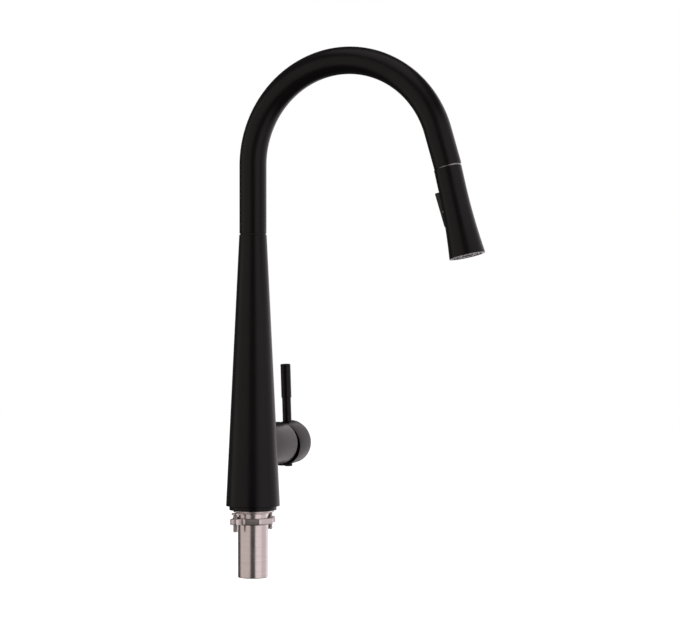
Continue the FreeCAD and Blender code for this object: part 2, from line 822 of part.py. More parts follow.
# ---- spray head -------------------------------------------------------------------
def dock_neck():
    nose = dock(turned([
        (0, neck_nose_length), (neck_nose_r - neck_nose_edge, neck_nose_length),
        (neck_nose_r, neck_nose_length - 2 * neck_nose_edge), (neck_nose_r, neck_collar_top),
        (neck_collar_r, neck_collar_top), (neck_collar_r, -head_gap * 3), (0, -head_gap * 3)]))
    shell_top = hang(pipe(neck_collar_r * 2, neck_thread_r, V(0, 0, -head_gap), V(0, 0, -head_gap * 6)))
    thread = hang(rod(neck_thread_r, V(0, 0, -head_gap), V(0, 0, -neck_thread_length)))
    step = Z * (slip_gap - connector_flange_top)
    bore = dock(rod(neck_bore_r, Z * (neck_nose_length + 1), step))
    wide = dock(rod(connector_flange_r + running_gap, step, Z * (-neck_thread_length - 3 * head_gap)))
    return fused(nose.cut(shell_top), [thread]).cut(bore.fuse(wide))


def neck_plate():
    low = V(0, 0, neck_nose_length)
    outer = neck_nose_r - neck_nose_edge - slip_gap
    return dock(pipe(outer, neck_bore_r, low, low + Z * neck_plate_thickness))


def flared_edges(inset, top, foot):
    """Left-hand outline of the head's flared side, set in by a wall, as two edges."""
    straight = Part.makeLine(V(head_top_r - inset, 0, -top), V(head_top_r - inset, 0, -head_straight))
    middle = (head_straight + foot) / 2
    flare = Part.Arc(V(head_top_r - inset, 0, -head_straight), V(head_r(middle) - inset, 0, -middle),
                     V(head_r(foot) - inset, 0, -foot))
    return [straight, flare.toShape()]


def spray_shell():
    top, foot = head_gap, head_length - face_recess
    top_inner = head_gap + head_top_wall
    bore = neck_thread_r + seat_gap
    outline = flared_edges(0.0, top, foot) + flared_edges(head_wall, top_inner, foot)
    outline += [
        Part.makeLine(V(bore, 0, -top), V(head_top_r, 0, -top)),
        Part.makeLine(V(head_r(foot), 0, -foot), V(head_r(foot) - head_wall, 0, -foot)),
        Part.makeLine(V(head_top_r - head_wall, 0, -top_inner), V(bore, 0, -top_inner)),
        Part.makeLine(V(bore, 0, -top_inner), V(bore, 0, -top)),
    ]
    shell = spun_edges(outline)
    side = rocker_half_width + window_gap
    window = block(V(-side, 0, -rocker_foot - window_gap),
                   V(side, head_r(head_length), -rocker_top + window_top_gap))
    return hang(shell.cut(window))


def check_valve():
    top = -check_valve_top
    foot = top - check_valve_length
    return hang(turned([(check_valve_bore_r, top), (check_valve_r, top), (check_valve_r, foot),
                        (check_valve_bore_r, foot)]))


def inlet_washer():
    top = V(0, 0, -neck_thread_length - seat_gap)
    return hang(pipe(connector_flange_r, connector_bore_r, V(0, 0, -waterway_top + seat_gap), top))


def waterway_body():
    inset = head_wall + waterway_gap
    top, foot = waterway_top, waterway_foot
    seat = check_valve_r + seat_gap
    bore = spool_r + running_gap
    outline = flared_edges(inset, top, foot)
    valve_foot = check_valve_top + check_valve_length
    outlet_top = outlet_depth - foot
    inner = [(head_r(foot) - inset, -foot), (outlet_r, -foot), (outlet_r, outlet_top),
             (bore, outlet_top + outlet_cone), (bore, -valve_foot), (seat, -valve_foot), (seat, -top),
             (head_top_r - inset, -top)]
    points = [V(radius, 0, height) for radius, height in inner]
    outline += [Part.makeLine(a, b) for a, b in zip(points, points[1:])]
    body = spun_edges(outline)
    side = rocker_half_width + pocket_side_room
    past = head_r(head_length)
    pocket = block(V(-side, pocket_floor, -rocker_foot - pocket_end_room),
                   V(side, past, -rocker_top + pocket_end_room))
    pivot = V(0, rocker_pivot_r, -rocker_pivot)
    pin_seat = rod(rocker_pin_r + running_gap, pivot - X * past, pivot + X * past)
    reach = finger_r + free_gap + finger_swing
    half = finger_r + finger_side_room
    finger_way = block(V(-half, 0, -rocker_pivot - reach), V(half, pocket_floor + 1, -rocker_pivot + reach))
    return hang(body.cut(pocket).cut(pin_seat).cut(finger_way))


def diverter_spool():
    top = -spool_top
    foot = top - spool_length
    spool = rod(spool_r, V(0, 0, foot), V(0, 0, top))
    low = -rocker_pivot - spool_groove / 2
    groove = pipe(spool_r + 1, spool_core_r, V(0, 0, low), V(0, 0, low + spool_groove))
    return hang(spool.cut(groove))


def rocker_button():
    top_y = head_r(rocker_top) + rocker_proud
    foot_y = head_r(rocker_foot) + slip_gap
    side = [V(0, rocker_depth, -rocker_top), V(0, top_y, -rocker_top), V(0, foot_y, -rocker_foot),
            V(0, rocker_depth, -rocker_foot)]
    button = Part.Face(Part.makePolygon(side + side[:1])).extrude(V(2 * rocker_half_width, 0, 0))
    button.translate(V(-rocker_half_width, 0, 0))
    outer = [edge for edge in button.Edges if edge.BoundBox.YMin > foot_y - 0.01]
    button = button.makeFillet(rocker_edge, outer)
    hollow_half = rocker_half_width - rocker_wall
    hollow = block(V(-hollow_half, rocker_depth - 1, -rocker_foot + rocker_wall),
                   V(hollow_half, rocker_depth + rocker_hollow, -rocker_top - rocker_wall))
    finger = rod(finger_r, V(0, finger_tip, -rocker_pivot), V(0, rocker_depth + finger_root, -rocker_pivot))
    pivot = V(0, rocker_pivot_r, -rocker_pivot)
    hub = block(pivot - V(rocker_half_width, hub_half_height, hub_half_height),
                pivot + V(rocker_half_width, hub_front, hub_half_height))
    across = X * rocker_half_width * 2
    bore = rod(rocker_pin_r + running_gap, pivot - across, pivot + across)
    button = fused(button.cut(hollow), [hub, finger])
    return hang(button.cut(bore))


def rocker_pin():
    half = rocker_half_width + pin_overhang
    pivot = V(0, rocker_pivot_r, -rocker_pivot)
    return hang(rod(rocker_pin_r, pivot - X * half, pivot + X * half))


def nozzle_places():
    """Centres of the spray nozzles, ring by ring."""
    places = []
    for pitch_r, count in nozzle_rows:
        for turn in range(count):
            angle = 2 * math.pi * turn / count
            places.append(V(pitch_r * math.cos(angle), pitch_r * math.sin(angle), 0))
    return places


def spray_face():
    outer = head_r(head_length) - face_ring_width - head_wall / 2
    foot = -head_length + face_recess
    back = foot + face_thickness
    bore = aerator_r + slip_gap
    plate = turned([(bore, back), (outer, back), (outer, foot), (bore, foot)])
    holes = [rod(nozzle_r + seat_gap, place + Z * (foot - 1), place + Z * (back + 1))
             for place in nozzle_places()]
    return hang(plate.cut(Part.makeCompound(holes)))


def nozzle_mat():
    back = -head_length + face_recess + face_thickness + seat_gap
    top = back + mat_thickness
    outer = head_r(head_length) - face_ring_width - head_wall / 2 - mat_inset
    bore = aerator_r + slip_gap
    mat = turned([(bore, top), (outer, top), (outer, back), (bore, back)])
    tip = -head_length + face_recess - nozzle_stand
    root = (back + top) / 2
    teats = [rod(nozzle_r, place + Z * tip, place + Z * root) for place in nozzle_places()]
    return hang(fused(mat, teats))


def face_ring():
    foot = -head_length
    top = foot + face_thickness + face_ring_skirt
    outer = head_r(head_length) - head_wall - face_ring_skirt_inset
    inner = head_r(head_length) - face_ring_width - head_wall / 2 + seat_gap
    rim = head_r(head_length) - face_ring_inset
    lip_top = foot + face_recess - seat_gap
    return hang(turned([(inner, foot), (rim - face_ring_edge, foot), (rim, foot + face_ring_edge),
                        (rim, lip_top), (outer, lip_top), (outer, top), (inner, top)]))


def aerator():
    foot = -head_length + face_recess
    body = rod(aerator_r, V(0, 0, foot), V(0, 0, foot + aerator_length))
    return hang(body.cut(rod(aerator_r - aerator_rim, Z * (foot - 1), Z * (foot + aerator_recess))))


PIECES = [
    base_ring, base_seal, base_insert, body_shell, shank_tube,
    clamp_plate, ring_nut, clamp_screws,
    valve_body, cartridge_foot, cartridge_seals, ceramic_disc_fixed, cartridge_body, cartridge_nut,
    valve_sleeve, dome_cover,
    turn_ring, ceramic_disc_moving, disc_carrier,
    joystick_stem, handle_cap, lever_stem, lever_grip, cap_plug,
    swivel_bush_lower, swivel_bush_upper, swivel_washer, stop_screw,
    swivel_stem, retaining_clip, spout_tube, dock_insert, dock_magnet,
    spray_hose_lower, hose_tail, spray_hose_upper, spray_hose_end, hose_connector,
    dock_neck, neck_plate, spray_shell, inlet_washer, check_valve, waterway_body, diverter_spool,
    rocker_button, rocker_pin, spray_face, nozzle_mat, face_ring, aerator,
]


def main():
    os.makedirs("parts", exist_ok=True)
    for piece in PIECES:
        shape = piece()
        name = piece.__name__
        state = "valid" if shape.isValid() else "NOT VALID"
        print(name, len(shape.Solids), "solid(s)", state, round(shape.Volume, 1))
        shape.exportStep(os.path.join("parts", name + ".step"))


main()
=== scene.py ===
"""Looks of a pull-down kitchen faucet, built around its CAD frame.

Surfaces are worked out in millimetres on whole numpy arrays and put into meshes in metres. Each piece rides
on the CAD body that it belongs to.
"""
import json
import math

import bpy
import numpy as np
from mathutils import Matrix, Vector


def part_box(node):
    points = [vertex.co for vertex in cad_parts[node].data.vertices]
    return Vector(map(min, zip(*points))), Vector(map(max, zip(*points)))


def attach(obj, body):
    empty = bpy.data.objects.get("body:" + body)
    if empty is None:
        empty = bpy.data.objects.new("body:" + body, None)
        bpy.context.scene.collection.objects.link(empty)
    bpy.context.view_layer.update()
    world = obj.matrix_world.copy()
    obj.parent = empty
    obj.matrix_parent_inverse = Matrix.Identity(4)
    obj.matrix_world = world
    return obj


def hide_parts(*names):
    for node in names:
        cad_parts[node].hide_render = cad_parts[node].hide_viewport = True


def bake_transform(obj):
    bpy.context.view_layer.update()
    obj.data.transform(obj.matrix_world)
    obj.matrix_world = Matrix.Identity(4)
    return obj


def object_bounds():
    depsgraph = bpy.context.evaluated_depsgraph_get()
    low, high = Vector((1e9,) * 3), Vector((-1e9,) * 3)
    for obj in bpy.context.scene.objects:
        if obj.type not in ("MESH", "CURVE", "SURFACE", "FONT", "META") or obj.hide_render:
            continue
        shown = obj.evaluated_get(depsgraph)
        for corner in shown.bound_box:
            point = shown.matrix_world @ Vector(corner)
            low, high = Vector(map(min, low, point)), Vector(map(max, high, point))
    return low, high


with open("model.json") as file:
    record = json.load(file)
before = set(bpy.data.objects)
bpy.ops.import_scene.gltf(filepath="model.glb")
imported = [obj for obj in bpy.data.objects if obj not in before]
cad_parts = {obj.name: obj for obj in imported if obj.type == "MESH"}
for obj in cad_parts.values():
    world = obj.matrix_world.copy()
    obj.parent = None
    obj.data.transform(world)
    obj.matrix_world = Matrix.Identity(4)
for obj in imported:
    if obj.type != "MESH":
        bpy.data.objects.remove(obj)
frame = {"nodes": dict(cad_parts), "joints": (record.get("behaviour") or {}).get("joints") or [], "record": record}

bl_info = {
    "name": "Pull-down kitchen faucet",
    "version": (1, 0, 0),
    "blender": (4, 5, 0),
    "location": "View3D > Sidebar > Faucet",
    "description": "Builds the visible pieces, finishes and studio of a pull-down kitchen faucet",
    "category": "Add Mesh",
}

MM = 0.001
CAD_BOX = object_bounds()
TURN = 2 * math.pi


# ---- places read from the frame ------------------------------------------------------
def corners(node):
    """Lowest and highest corner of a CAD node, in millimetres."""
    low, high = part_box(node)
    return np.array(low) / MM, np.array(high) / MM


def middle(node):
    """Middle of a CAD node's box, in millimetres."""
    low, high = corners(node)
    return (low + high) / 2


def joint(name):
    """A joint of the frame by name."""
    return next(each for each in frame["joints"] if each["name"] == name)


def joint_place(name):
    """Where a joint's axis passes, in millimetres."""
    return np.array(joint(name)["pos_m"]) / MM


def node_points(node):
    """Vertices of a CAD node, in millimetres."""
    vertices = frame["nodes"][node].data.vertices
    points = np.empty(len(vertices) * 3, np.float32)
    vertices.foreach_get("co", points)
    return points.reshape(-1, 3) / MM


def reach_at(points, height, band=0.6):
    """Largest distance from the Z axis of points near a height."""
    near = points[np.abs(points[:, 2] - height) < band]
    return float(np.hypot(near[:, 0], near[:, 1]).max())


def tilted(direction):
    """Rotation that takes -Z to a direction in the YZ plane."""
    lean = math.atan2(-direction[1], -direction[2])
    return np.array(Matrix.Rotation(-lean, 3, "X"))


SEAM = joint_place("spray_turn")                   # where the spout's straight end stops
SPOUT_END = np.array(joint("spray_pull")["axis"])      # the way the straight end points
HEAD_AXIS = np.array(joint("diverter_slide")["axis"])
HEAD_TURN = tilted(HEAD_AXIS)
DOCK_TURN = tilted(SPOUT_END)
VALVE = joint_place("lever_lift")                  # centre of the joystick's ball
LEVER_LEAN = math.radians(4.2)
CAP_DROP = 1.3


def head_origin():
    """Point of the spray head's axis level with the seam, found from a round piece on that axis."""
    on_axis = middle("check_valve")
    depth = (on_axis - SEAM) @ HEAD_AXIS
    return on_axis - HEAD_AXIS * depth


HEAD_SEAM = head_origin()


# ---- sizes a user may change ------------------------------------------------------------
class FaucetSizes(bpy.types.PropertyGroup):
    """Fineness and small shape details of the pieces, in millimetres."""

    segments: bpy.props.IntProperty(
        name="Segments", description="Steps round a turned piece", default=128, min=24, max=256)
    edge_round: bpy.props.FloatProperty(
        name="Edge rounding", default=0.5,
        description="Radius of a painted piece's outer edges, in millimetres")
    steel_round: bpy.props.FloatProperty(
        name="Steel edge rounding", default=0.35,
        description="Radius of the clamp pieces' edges, in millimetres")
    screw_pitch: bpy.props.FloatProperty(
        name="Screw pitch", description="Pitch of the clamp screws, in millimetres", default=0.8)
    flutes: bpy.props.IntProperty(
        name="Hose flutes", description="Lengthwise ribs round the spray hose", default=24, min=6, max=60)


class FaucetColours(bpy.types.PropertyGroup):
    """Colours of the finishes and of the light."""

    paint: bpy.props.FloatVectorProperty(
        name="Paint", description="Matt black of the faucet", subtype="COLOR", size=3,
        default=(0.0056, 0.0046, 0.0050), min=0, max=1)
    steel: bpy.props.FloatVectorProperty(
        name="Steel", description="Warm grey of the brushed steel", subtype="COLOR", size=3,
        default=(0.60, 0.550, 0.530), min=0, max=1)
    backdrop: bpy.props.FloatVectorProperty(
        name="Backdrop", description="Pale studio behind and below the faucet", subtype="COLOR", size=3,
        default=(1.0, 1.0, 1.0), min=0, max=1)


# ---- outlines -------------------------------------------------------------------------------
def rounded(corner_list, closed=True, steps=5):
    """Outline through (across, along, radius) corners. A corner with a radius becomes a circular arc that
    touches both sides radius / tan(half the inner angle) away from the corner."""
    table = np.array(corner_list, float)
    places, radii = table[:, :2], table[:, 2]
    count = len(places)
    out = []
    for index in range(count):
        here, radius = places[index], radii[index]
        if radius <= 0 or (not closed and index in (0, count - 1)):
            out.append(here[None])
            continue
        back = places[index - 1] - here
        ahead = places[(index + 1) % count] - here
        back, ahead = back / np.linalg.norm(back), ahead / np.linalg.norm(ahead)
        half = math.acos(float(np.clip(back @ ahead, -1, 1))) / 2
        centre = here + (back + ahead) / np.linalg.norm(back + ahead) * radius / math.sin(half)
        start = here + back * radius / math.tan(half) - centre
        stop = here + ahead * radius / math.tan(half) - centre
        share = np.linspace(0, 1, steps)[:, None]
        sweep = math.pi - 2 * half
        arc = (np.sin((1 - share) * sweep) * start + np.sin(share * sweep) * stop) / math.sin(sweep)
        out.append(centre + arc)
    return np.concatenate(out)


PLAN_STEPS = 432      # steps round the plan of a clamp piece


def turn_angles(count):
    """Directions all round, in even steps."""
    return np.arange(count) * TURN / count


def about_z(radius, angle, height):
    """Points at distances and angles about the Z axis and at heights."""
    return np.stack(np.broadcast_arrays(radius * np.cos(angle), radius * np.sin(angle), height), -1)


def spin(outline, steps):
    """Grid of points: each (radius, height) of the outline turned about Z in equal steps."""
    angle = turn_angles(steps)
    radius, height = outline[:, :1], outline[:, 1:]
    return about_z(radius, angle, height)


def carried(centres, across, normals, radii, angles):
    """Grid of points: a ring of each row's radius about its centre, in the plane of two unit vectors."""
    ring = np.cos(angles)[None, :, None] * across[:, None] + np.sin(angles)[None, :, None] * normals[:, None]
    return centres[:, None] + radii[:, None, None] * ring


def quads(rows, columns, closed_rows, closed_columns=True):
    """Corner numbers of a grid's four-sided faces."""
    i = np.arange(rows if closed_rows else rows - 1)
    j = np.arange(columns if closed_columns else columns - 1)
    i, j = np.meshgrid(i, j, indexing="ij")
    below, beside = (i + 1) % rows, (j + 1) % columns
    here, next_row = i * columns, below * columns
    return np.stack([here + j, here + beside, next_row + beside, next_row + j], -1).reshape(-1, 4)


def shell(grid, closed_rows):
    """Closed surface from a grid of rings: a tube whose rows join up, or one that ends in poles."""
    return grid.reshape(-1, 3), quads(grid.shape[0], grid.shape[1], closed_rows)


def turned(outline, steps, closed_rows=True):
    """Closed surface of an outline turned about Z."""
    return shell(spin(outline, steps), closed_rows)


def walled(outer, inner, keep):
    """Closed wall between two grids of the same shape that join round their columns. keep says which faces
    exist. Where a kept face ends, a strip joins the two grids, so openings and rims have edges."""
    rows, columns = outer.shape[:2]
    faces = quads(rows, columns, False)[keep.reshape(-1)]
    shift = rows * columns
    sides = np.concatenate([faces[:, [k, (k + 1) % 4]] for k in range(4)])
    key = sides.min(1) * shift + sides.max(1)
    _, first, count = np.unique(key, return_index=True, return_counts=True)
    rim = sides[first[count == 1]]
    strips = np.stack([rim[:, 1], rim[:, 0], rim[:, 0] + shift, rim[:, 1] + shift], -1)
    points = np.concatenate([outer.reshape(-1, 3), inner.reshape(-1, 3)])
    return points, np.concatenate([faces, faces[:, ::-1] + shift, strips])


def moved(part, turn=None, shift=(0, 0, 0)):
    """A surface turned by a rotation matrix and then shifted."""
    points, faces = part
    if turn is not None:
        points = points @ np.asarray(turn).T
    return points + np.asarray(shift, float), faces


def hang(part):
    """A surface made hanging below the origin, moved on to the spray head's axis."""
    return moved(part, HEAD_TURN, HEAD_SEAM)


def dock(part):
    """A surface made hanging below the origin, moved on to the spout's straight end."""
    return moved(part, DOCK_TURN, SEAM)


TO_VALVE = np.array(Matrix.Rotation(math.pi / 2, 3, "Y"))
LEAN_TURN = np.array(Matrix.Rotation(-LEVER_LEAN, 3, "Y"))


def along_valve(part):
    """A surface made about Z, laid along +X at the valve's height."""
    return moved(part, TO_VALVE, (0, 0, VALVE[2]))


def leant(part, drop=CAP_DROP):
    """A handle surface tilted about the ball to its closed place."""
    tipped = moved(moved(part, shift=-VALVE), LEAN_TURN, VALVE)
    return moved(tipped, shift=(0, 0, -drop))


# ---- meshes ----------------------------------------------------------------------------------
def tidied(part):
    """Points merged where they share a place, unused ones dropped, and faces turned outward: the sum of the
    faces' signed volumes is positive."""
    points, faces = part
    a, b, c, d = (points[faces[:, k]] for k in range(4))
    volume = np.sum(a * np.cross(b, c)) + np.sum(a * np.cross(c, d))
    if volume < 0:
        faces = faces[:, ::-1]
    _, first, place = np.unique(np.round(points, 5), axis=0, return_index=True, return_inverse=True)
    faces = place.reshape(-1)[faces]
    used, numbers = np.unique(faces, return_inverse=True)
    return points[first[used]], numbers.reshape(-1, 4)


def build(name, parts, body, slot, stands_for, finish=None, sharp=32.0):
    """Mesh piece from closed surfaces in millimetres. It rides on a body, stands for CAD nodes and has the named
    finish, or the slot's own finish where no other is named."""
    points, loops, starts = [], [], []
    point_count = loop_count = 0
    for part in parts:
        places, faces = tidied(part)
        keep = faces != np.roll(faces, -1, axis=1)
        sizes = keep.sum(1)
        keep[sizes < 3] = False
        sizes = sizes[sizes > 2]
        points.append(places)
        loops.append(faces[keep] + point_count)
        starts.append(loop_count + np.cumsum(sizes) - sizes)
        point_count += len(places)
        loop_count += int(sizes.sum())
    points, loops, starts = np.concatenate(points) * MM, np.concatenate(loops), np.concatenate(starts)
    mesh = bpy.data.meshes.new(name)
    mesh.vertices.add(len(points))
    mesh.vertices.foreach_set("co", points.astype(np.float32).ravel())
    mesh.loops.add(len(loops))
    mesh.loops.foreach_set("vertex_index", loops.astype(np.int32))
    mesh.polygons.add(len(starts))
    mesh.polygons.foreach_set("loop_start", starts.astype(np.int32))
    mesh.update(calc_edges=True)
    if mesh.validate():
        raise RuntimeError(name + " came out with faulty faces")
    mesh.polygons.foreach_set("use_smooth", np.ones(len(starts), bool))
    mesh.set_sharp_from_angle(angle=math.radians(sharp))
    piece = bpy.data.objects.new(name, mesh)
    bpy.context.scene.collection.objects.link(piece)
    mesh.materials.append(finish_of(finish or slot))
    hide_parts(*stands_for)
    if body:
        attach(piece, body)
    return piece


# ---- shared effects -------------------------------------------------------------------------
def new_group(name, inputs, outputs):
    """Empty node group with sockets given as (name, type, default) and (name, type)."""
    group = bpy.data.node_groups.new(name, "ShaderNodeTree")
    for label, kind, default in inputs:
        group.interface.new_socket(name=label, in_out="INPUT", socket_type=kind).default_value = default
    for label, kind in outputs:
        group.interface.new_socket(name=label, in_out="OUTPUT", socket_type=kind)
    return group, group.nodes.new("NodeGroupInput"), group.nodes.new("NodeGroupOutput")


def noise_in(tree, vector, scale=None, detail=2.0):
    """Noise texture node fed by a vector."""
    node = tree.nodes.new("ShaderNodeTexNoise")
    node.inputs["Detail"].default_value = detail
    tree.links.new(vector, node.inputs["Vector"])
    if scale is not None:
        tree.links.new(scale, node.inputs["Scale"])
    return node


def grain_effect():
    """Even fine grain: noise in the piece's own place, as a height."""
    group, start, end = new_group(
        "Fine grain", [("Scale", "NodeSocketFloat", 1500.0)], [("Height", "NodeSocketFloat")])
    place = group.nodes.new("ShaderNodeTexCoord")
    grain = noise_in(group, place.outputs["Object"], start.outputs["Scale"], 3.0)
    group.links.new(grain.outputs["Fac"], end.inputs["Height"])
    return group


def patch_effect():
    """Slow change over the surface between a low and a high value."""
    group, start, end = new_group(
        "Slow patches",
        [("Scale", "NodeSocketFloat", 30.0), ("Low", "NodeSocketFloat", 0.0),
         ("High", "NodeSocketFloat", 1.0)],
        [("Value", "NodeSocketFloat")])
    place = group.nodes.new("ShaderNodeTexCoord")
    cloud = noise_in(group, place.outputs["Object"], start.outputs["Scale"])
    spread = group.nodes.new("ShaderNodeMapRange")
    spread.inputs["From Min"].default_value = 0.3
    spread.inputs["From Max"].default_value = 0.7
    group.links.new(cloud.outputs["Fac"], spread.inputs["Value"])
    group.links.new(start.outputs["Low"], spread.inputs["To Min"])
    group.links.new(start.outputs["High"], spread.inputs["To Max"])
    group.links.new(spread.outputs["Result"], end.inputs["Value"])
    return group


def brush_effect():
    """Brush lines: noise squeezed by a different amount along each axis, as a height and as a tone."""
    group, start, end = new_group(
        "Brush lines", [("Squeeze", "NodeSocketVector", (60.0, 60.0, 4000.0))],
        [("Height", "NodeSocketFloat"), ("Tone", "NodeSocketFloat")])
    place = group.nodes.new("ShaderNodeTexCoord")
    squeeze = group.nodes.new("ShaderNodeMapping")
    group.links.new(place.outputs["Object"], squeeze.inputs["Vector"])
    group.links.new(start.outputs["Squeeze"], squeeze.inputs["Scale"])
    line = noise_in(group, squeeze.outputs["Vector"])
    line.inputs["Scale"].default_value = 1.0
    tone = group.nodes.new("ShaderNodeMapRange")
    tone.inputs["From Min"].default_value = 0.35
    tone.inputs["From Max"].default_value = 0.65
    group.links.new(line.outputs["Fac"], tone.inputs["Value"])
    group.links.new(line.outputs["Fac"], end.inputs["Height"])
    group.links.new(tone.outputs["Result"], end.inputs["Tone"])
    return group


def effect(name):
    """A shared effect by name, made the first time it is asked for."""
    makers = {"Fine grain": grain_effect, "Slow patches": patch_effect, "Brush lines": brush_effect}
    return bpy.data.node_groups.get(name) or makers[name]()


# ---- finishes ---------------------------------------------------------------------------------
class Finish:
    """A material under construction: its tree, its shader and the effects placed in it."""

    def __init__(self, name, metallic=0.0, specular=0.5):
        self.material = bpy.data.materials.new(name)
        self.material.use_nodes = True
        self.tree = self.material.node_tree
        self.shader = self.tree.nodes["Principled BSDF"]
        self.shader.inputs["Metallic"].default_value = metallic
        self.shader.inputs["Specular IOR Level"].default_value = specular

    def place(self, name, **values):
        """A shared effect with its own values."""
        node = self.tree.nodes.new("ShaderNodeGroup")
        node.node_tree = effect(name)
        for label, value in values.items():
            node.inputs[label].default_value = value
        return node

    def colour(self, mask, dark, light):
        """Base colour between two colours by a mask."""
        mix = self.tree.nodes.new("ShaderNodeMix")
        mix.data_type = "RGBA"
        mix.inputs["A"].default_value = (*dark, 1.0)
        mix.inputs["B"].default_value = (*light, 1.0)
        self.tree.links.new(mask, mix.inputs["Factor"])
        self.tree.links.new(mix.outputs["Result"], self.shader.inputs["Base Color"])

    def rough(self, low, high, scale=40.0):
        """Roughness that wanders between two values."""
        patches = self.place("Slow patches", Scale=scale, Low=low, High=high)
        self.tree.links.new(patches.outputs["Value"], self.shader.inputs["Roughness"])

    def relief(self, height, depth, strength=1.0):
        """Bump of a depth in metres from a height, on top of any bump already there."""
        bump = self.tree.nodes.new("ShaderNodeBump")
        bump.inputs["Distance"].default_value = depth
        bump.inputs["Strength"].default_value = strength
        self.tree.links.new(height, bump.inputs["Height"])
        under = self.shader.inputs["Normal"]
        if under.is_linked:
            self.tree.links.new(under.links[0].from_socket, bump.inputs["Normal"])
        self.tree.links.new(bump.outputs["Normal"], under)


def toned(colour, factor):
    """A colour made darker or lighter by a factor."""
    return tuple(min(1.0, part * factor) for part in colour)


def matt_black():
    """Matt black powder paint: slow tone, fine grain and a faint orange peel."""
    paint = bpy.context.scene.faucet_colours.paint
    finish = Finish("matt_black_paint", specular=0.18)
    tone = finish.place("Slow patches", Scale=22.0, Low=0.0, High=1.0)
    finish.colour(tone.outputs["Value"], toned(paint, 0.85), toned(paint, 1.2))
    finish.rough(0.29, 0.35)
    finish.relief(finish.place("Fine grain", Scale=260.0).outputs["Height"], 0.00006, 0.25)
    finish.relief(finish.place("Fine grain", Scale=2600.0).outputs["Height"], 0.00001, 0.5)
    return finish.material


def black_plastic():
    """Moulded black plastic of the rocker and the plug, a little duller than the paint."""
    finish = Finish("black_moulded_plastic", specular=0.4)
    tone = finish.place("Slow patches", Scale=60.0, Low=0.0, High=1.0)
    finish.colour(tone.outputs["Value"], (0.010, 0.009, 0.009), (0.015, 0.014, 0.014))
    finish.rough(0.46, 0.54, 80.0)
    finish.relief(finish.place("Fine grain", Scale=1800.0).outputs["Height"], 0.00002, 0.6)
    return finish.material


def steel_finish(name, colour, squeeze, low, high, depth=0.35):
    """Brushed metal: lines that change its tone and its relief."""
    finish = Finish(name, metallic=1.0)
    lines = finish.place("Brush lines", Squeeze=squeeze)
    finish.colour(lines.outputs["Tone"], toned(colour, 0.93), toned(colour, 1.04))
    finish.rough(low, high, 70.0)
    finish.relief(lines.outputs["Height"], 0.00001, depth)
    return finish.material


def turned_steel():
    """Bright steel of the shank, brushed round its axis."""
    return steel_finish(
        "turned_steel", bpy.context.scene.faucet_colours.steel, (40.0, 40.0, 2600.0), 0.21, 0.27, 0.06)


def plate_steel():
    """Duller steel of the nut, plate and screws, with lines across."""
    return steel_finish(
        "plate_steel", bpy.context.scene.faucet_colours.steel, (900.0, 900.0, 500.0), 0.3, 0.4, 0.12)


def plain_finish(name, dark, light, low, high, grain, depth, specular=0.5):
    """Non-metal with a slow tone, a wandering roughness and a fine grain."""
    finish = Finish(name, specular=specular)
    tone = finish.place("Slow patches", Scale=90.0, Low=0.0, High=1.0)
    finish.colour(tone.outputs["Value"], dark, light)
    finish.rough(low, high, 90.0)
    finish.relief(finish.place("Fine grain", Scale=grain).outputs["Height"], depth, 0.5)
    return finish.material


def hose_braid():
    """Dark woven cover of the spray hose: two sets of slanted lines that cross."""
    finish = Finish("hose_cover", specular=0.4)
    heights = []
    for slant in (1, -1):
        wave = finish.tree.nodes.new("ShaderNodeTexWave")
        wave.inputs["Scale"].default_value = 260.0
        turn = finish.tree.nodes.new("ShaderNodeMapping")
        turn.inputs["Rotation"].default_value = (0.0, slant * math.radians(45), slant * math.radians(45))
        place = finish.tree.nodes.new("ShaderNodeTexCoord")
        finish.tree.links.new(place.outputs["Object"], turn.inputs["Vector"])
        finish.tree.links.new(turn.outputs["Vector"], wave.inputs["Vector"])
        heights.append(wave.outputs["Fac"])
    weave = finish.tree.nodes.new("ShaderNodeMath")
    weave.operation = "MULTIPLY"
    for number, height in enumerate(heights):
        finish.tree.links.new(height, weave.inputs[number])
    finish.colour(weave.outputs["Value"], (0.016, 0.015, 0.015), (0.060, 0.058, 0.058))
    finish.rough(0.45, 0.6, 120.0)
    finish.relief(weave.outputs["Value"], 0.0002, 0.5)
    return finish.material


def hose_sleeve():
    """Dark cover of the hose end, with lengthwise threads drawn by its own attribute round the hose."""
    finish = Finish("hose_end_cover", specular=0.4)
    around = finish.tree.nodes.new("ShaderNodeAttribute")
    around.attribute_name = "round_share"
    tone = finish.tree.nodes.new("ShaderNodeTexNoise")
    tone.noise_dimensions = "1D"
    tone.inputs["Scale"].default_value = 90.0
    finish.tree.links.new(around.outputs["Fac"], tone.inputs["W"])
    finish.colour(tone.outputs["Fac"], (0.014, 0.013, 0.013), (0.055, 0.053, 0.053))
    finish.rough(0.45, 0.6, 120.0)
    finish.relief(tone.outputs["Fac"], 0.0001, 0.4)
    return finish.material


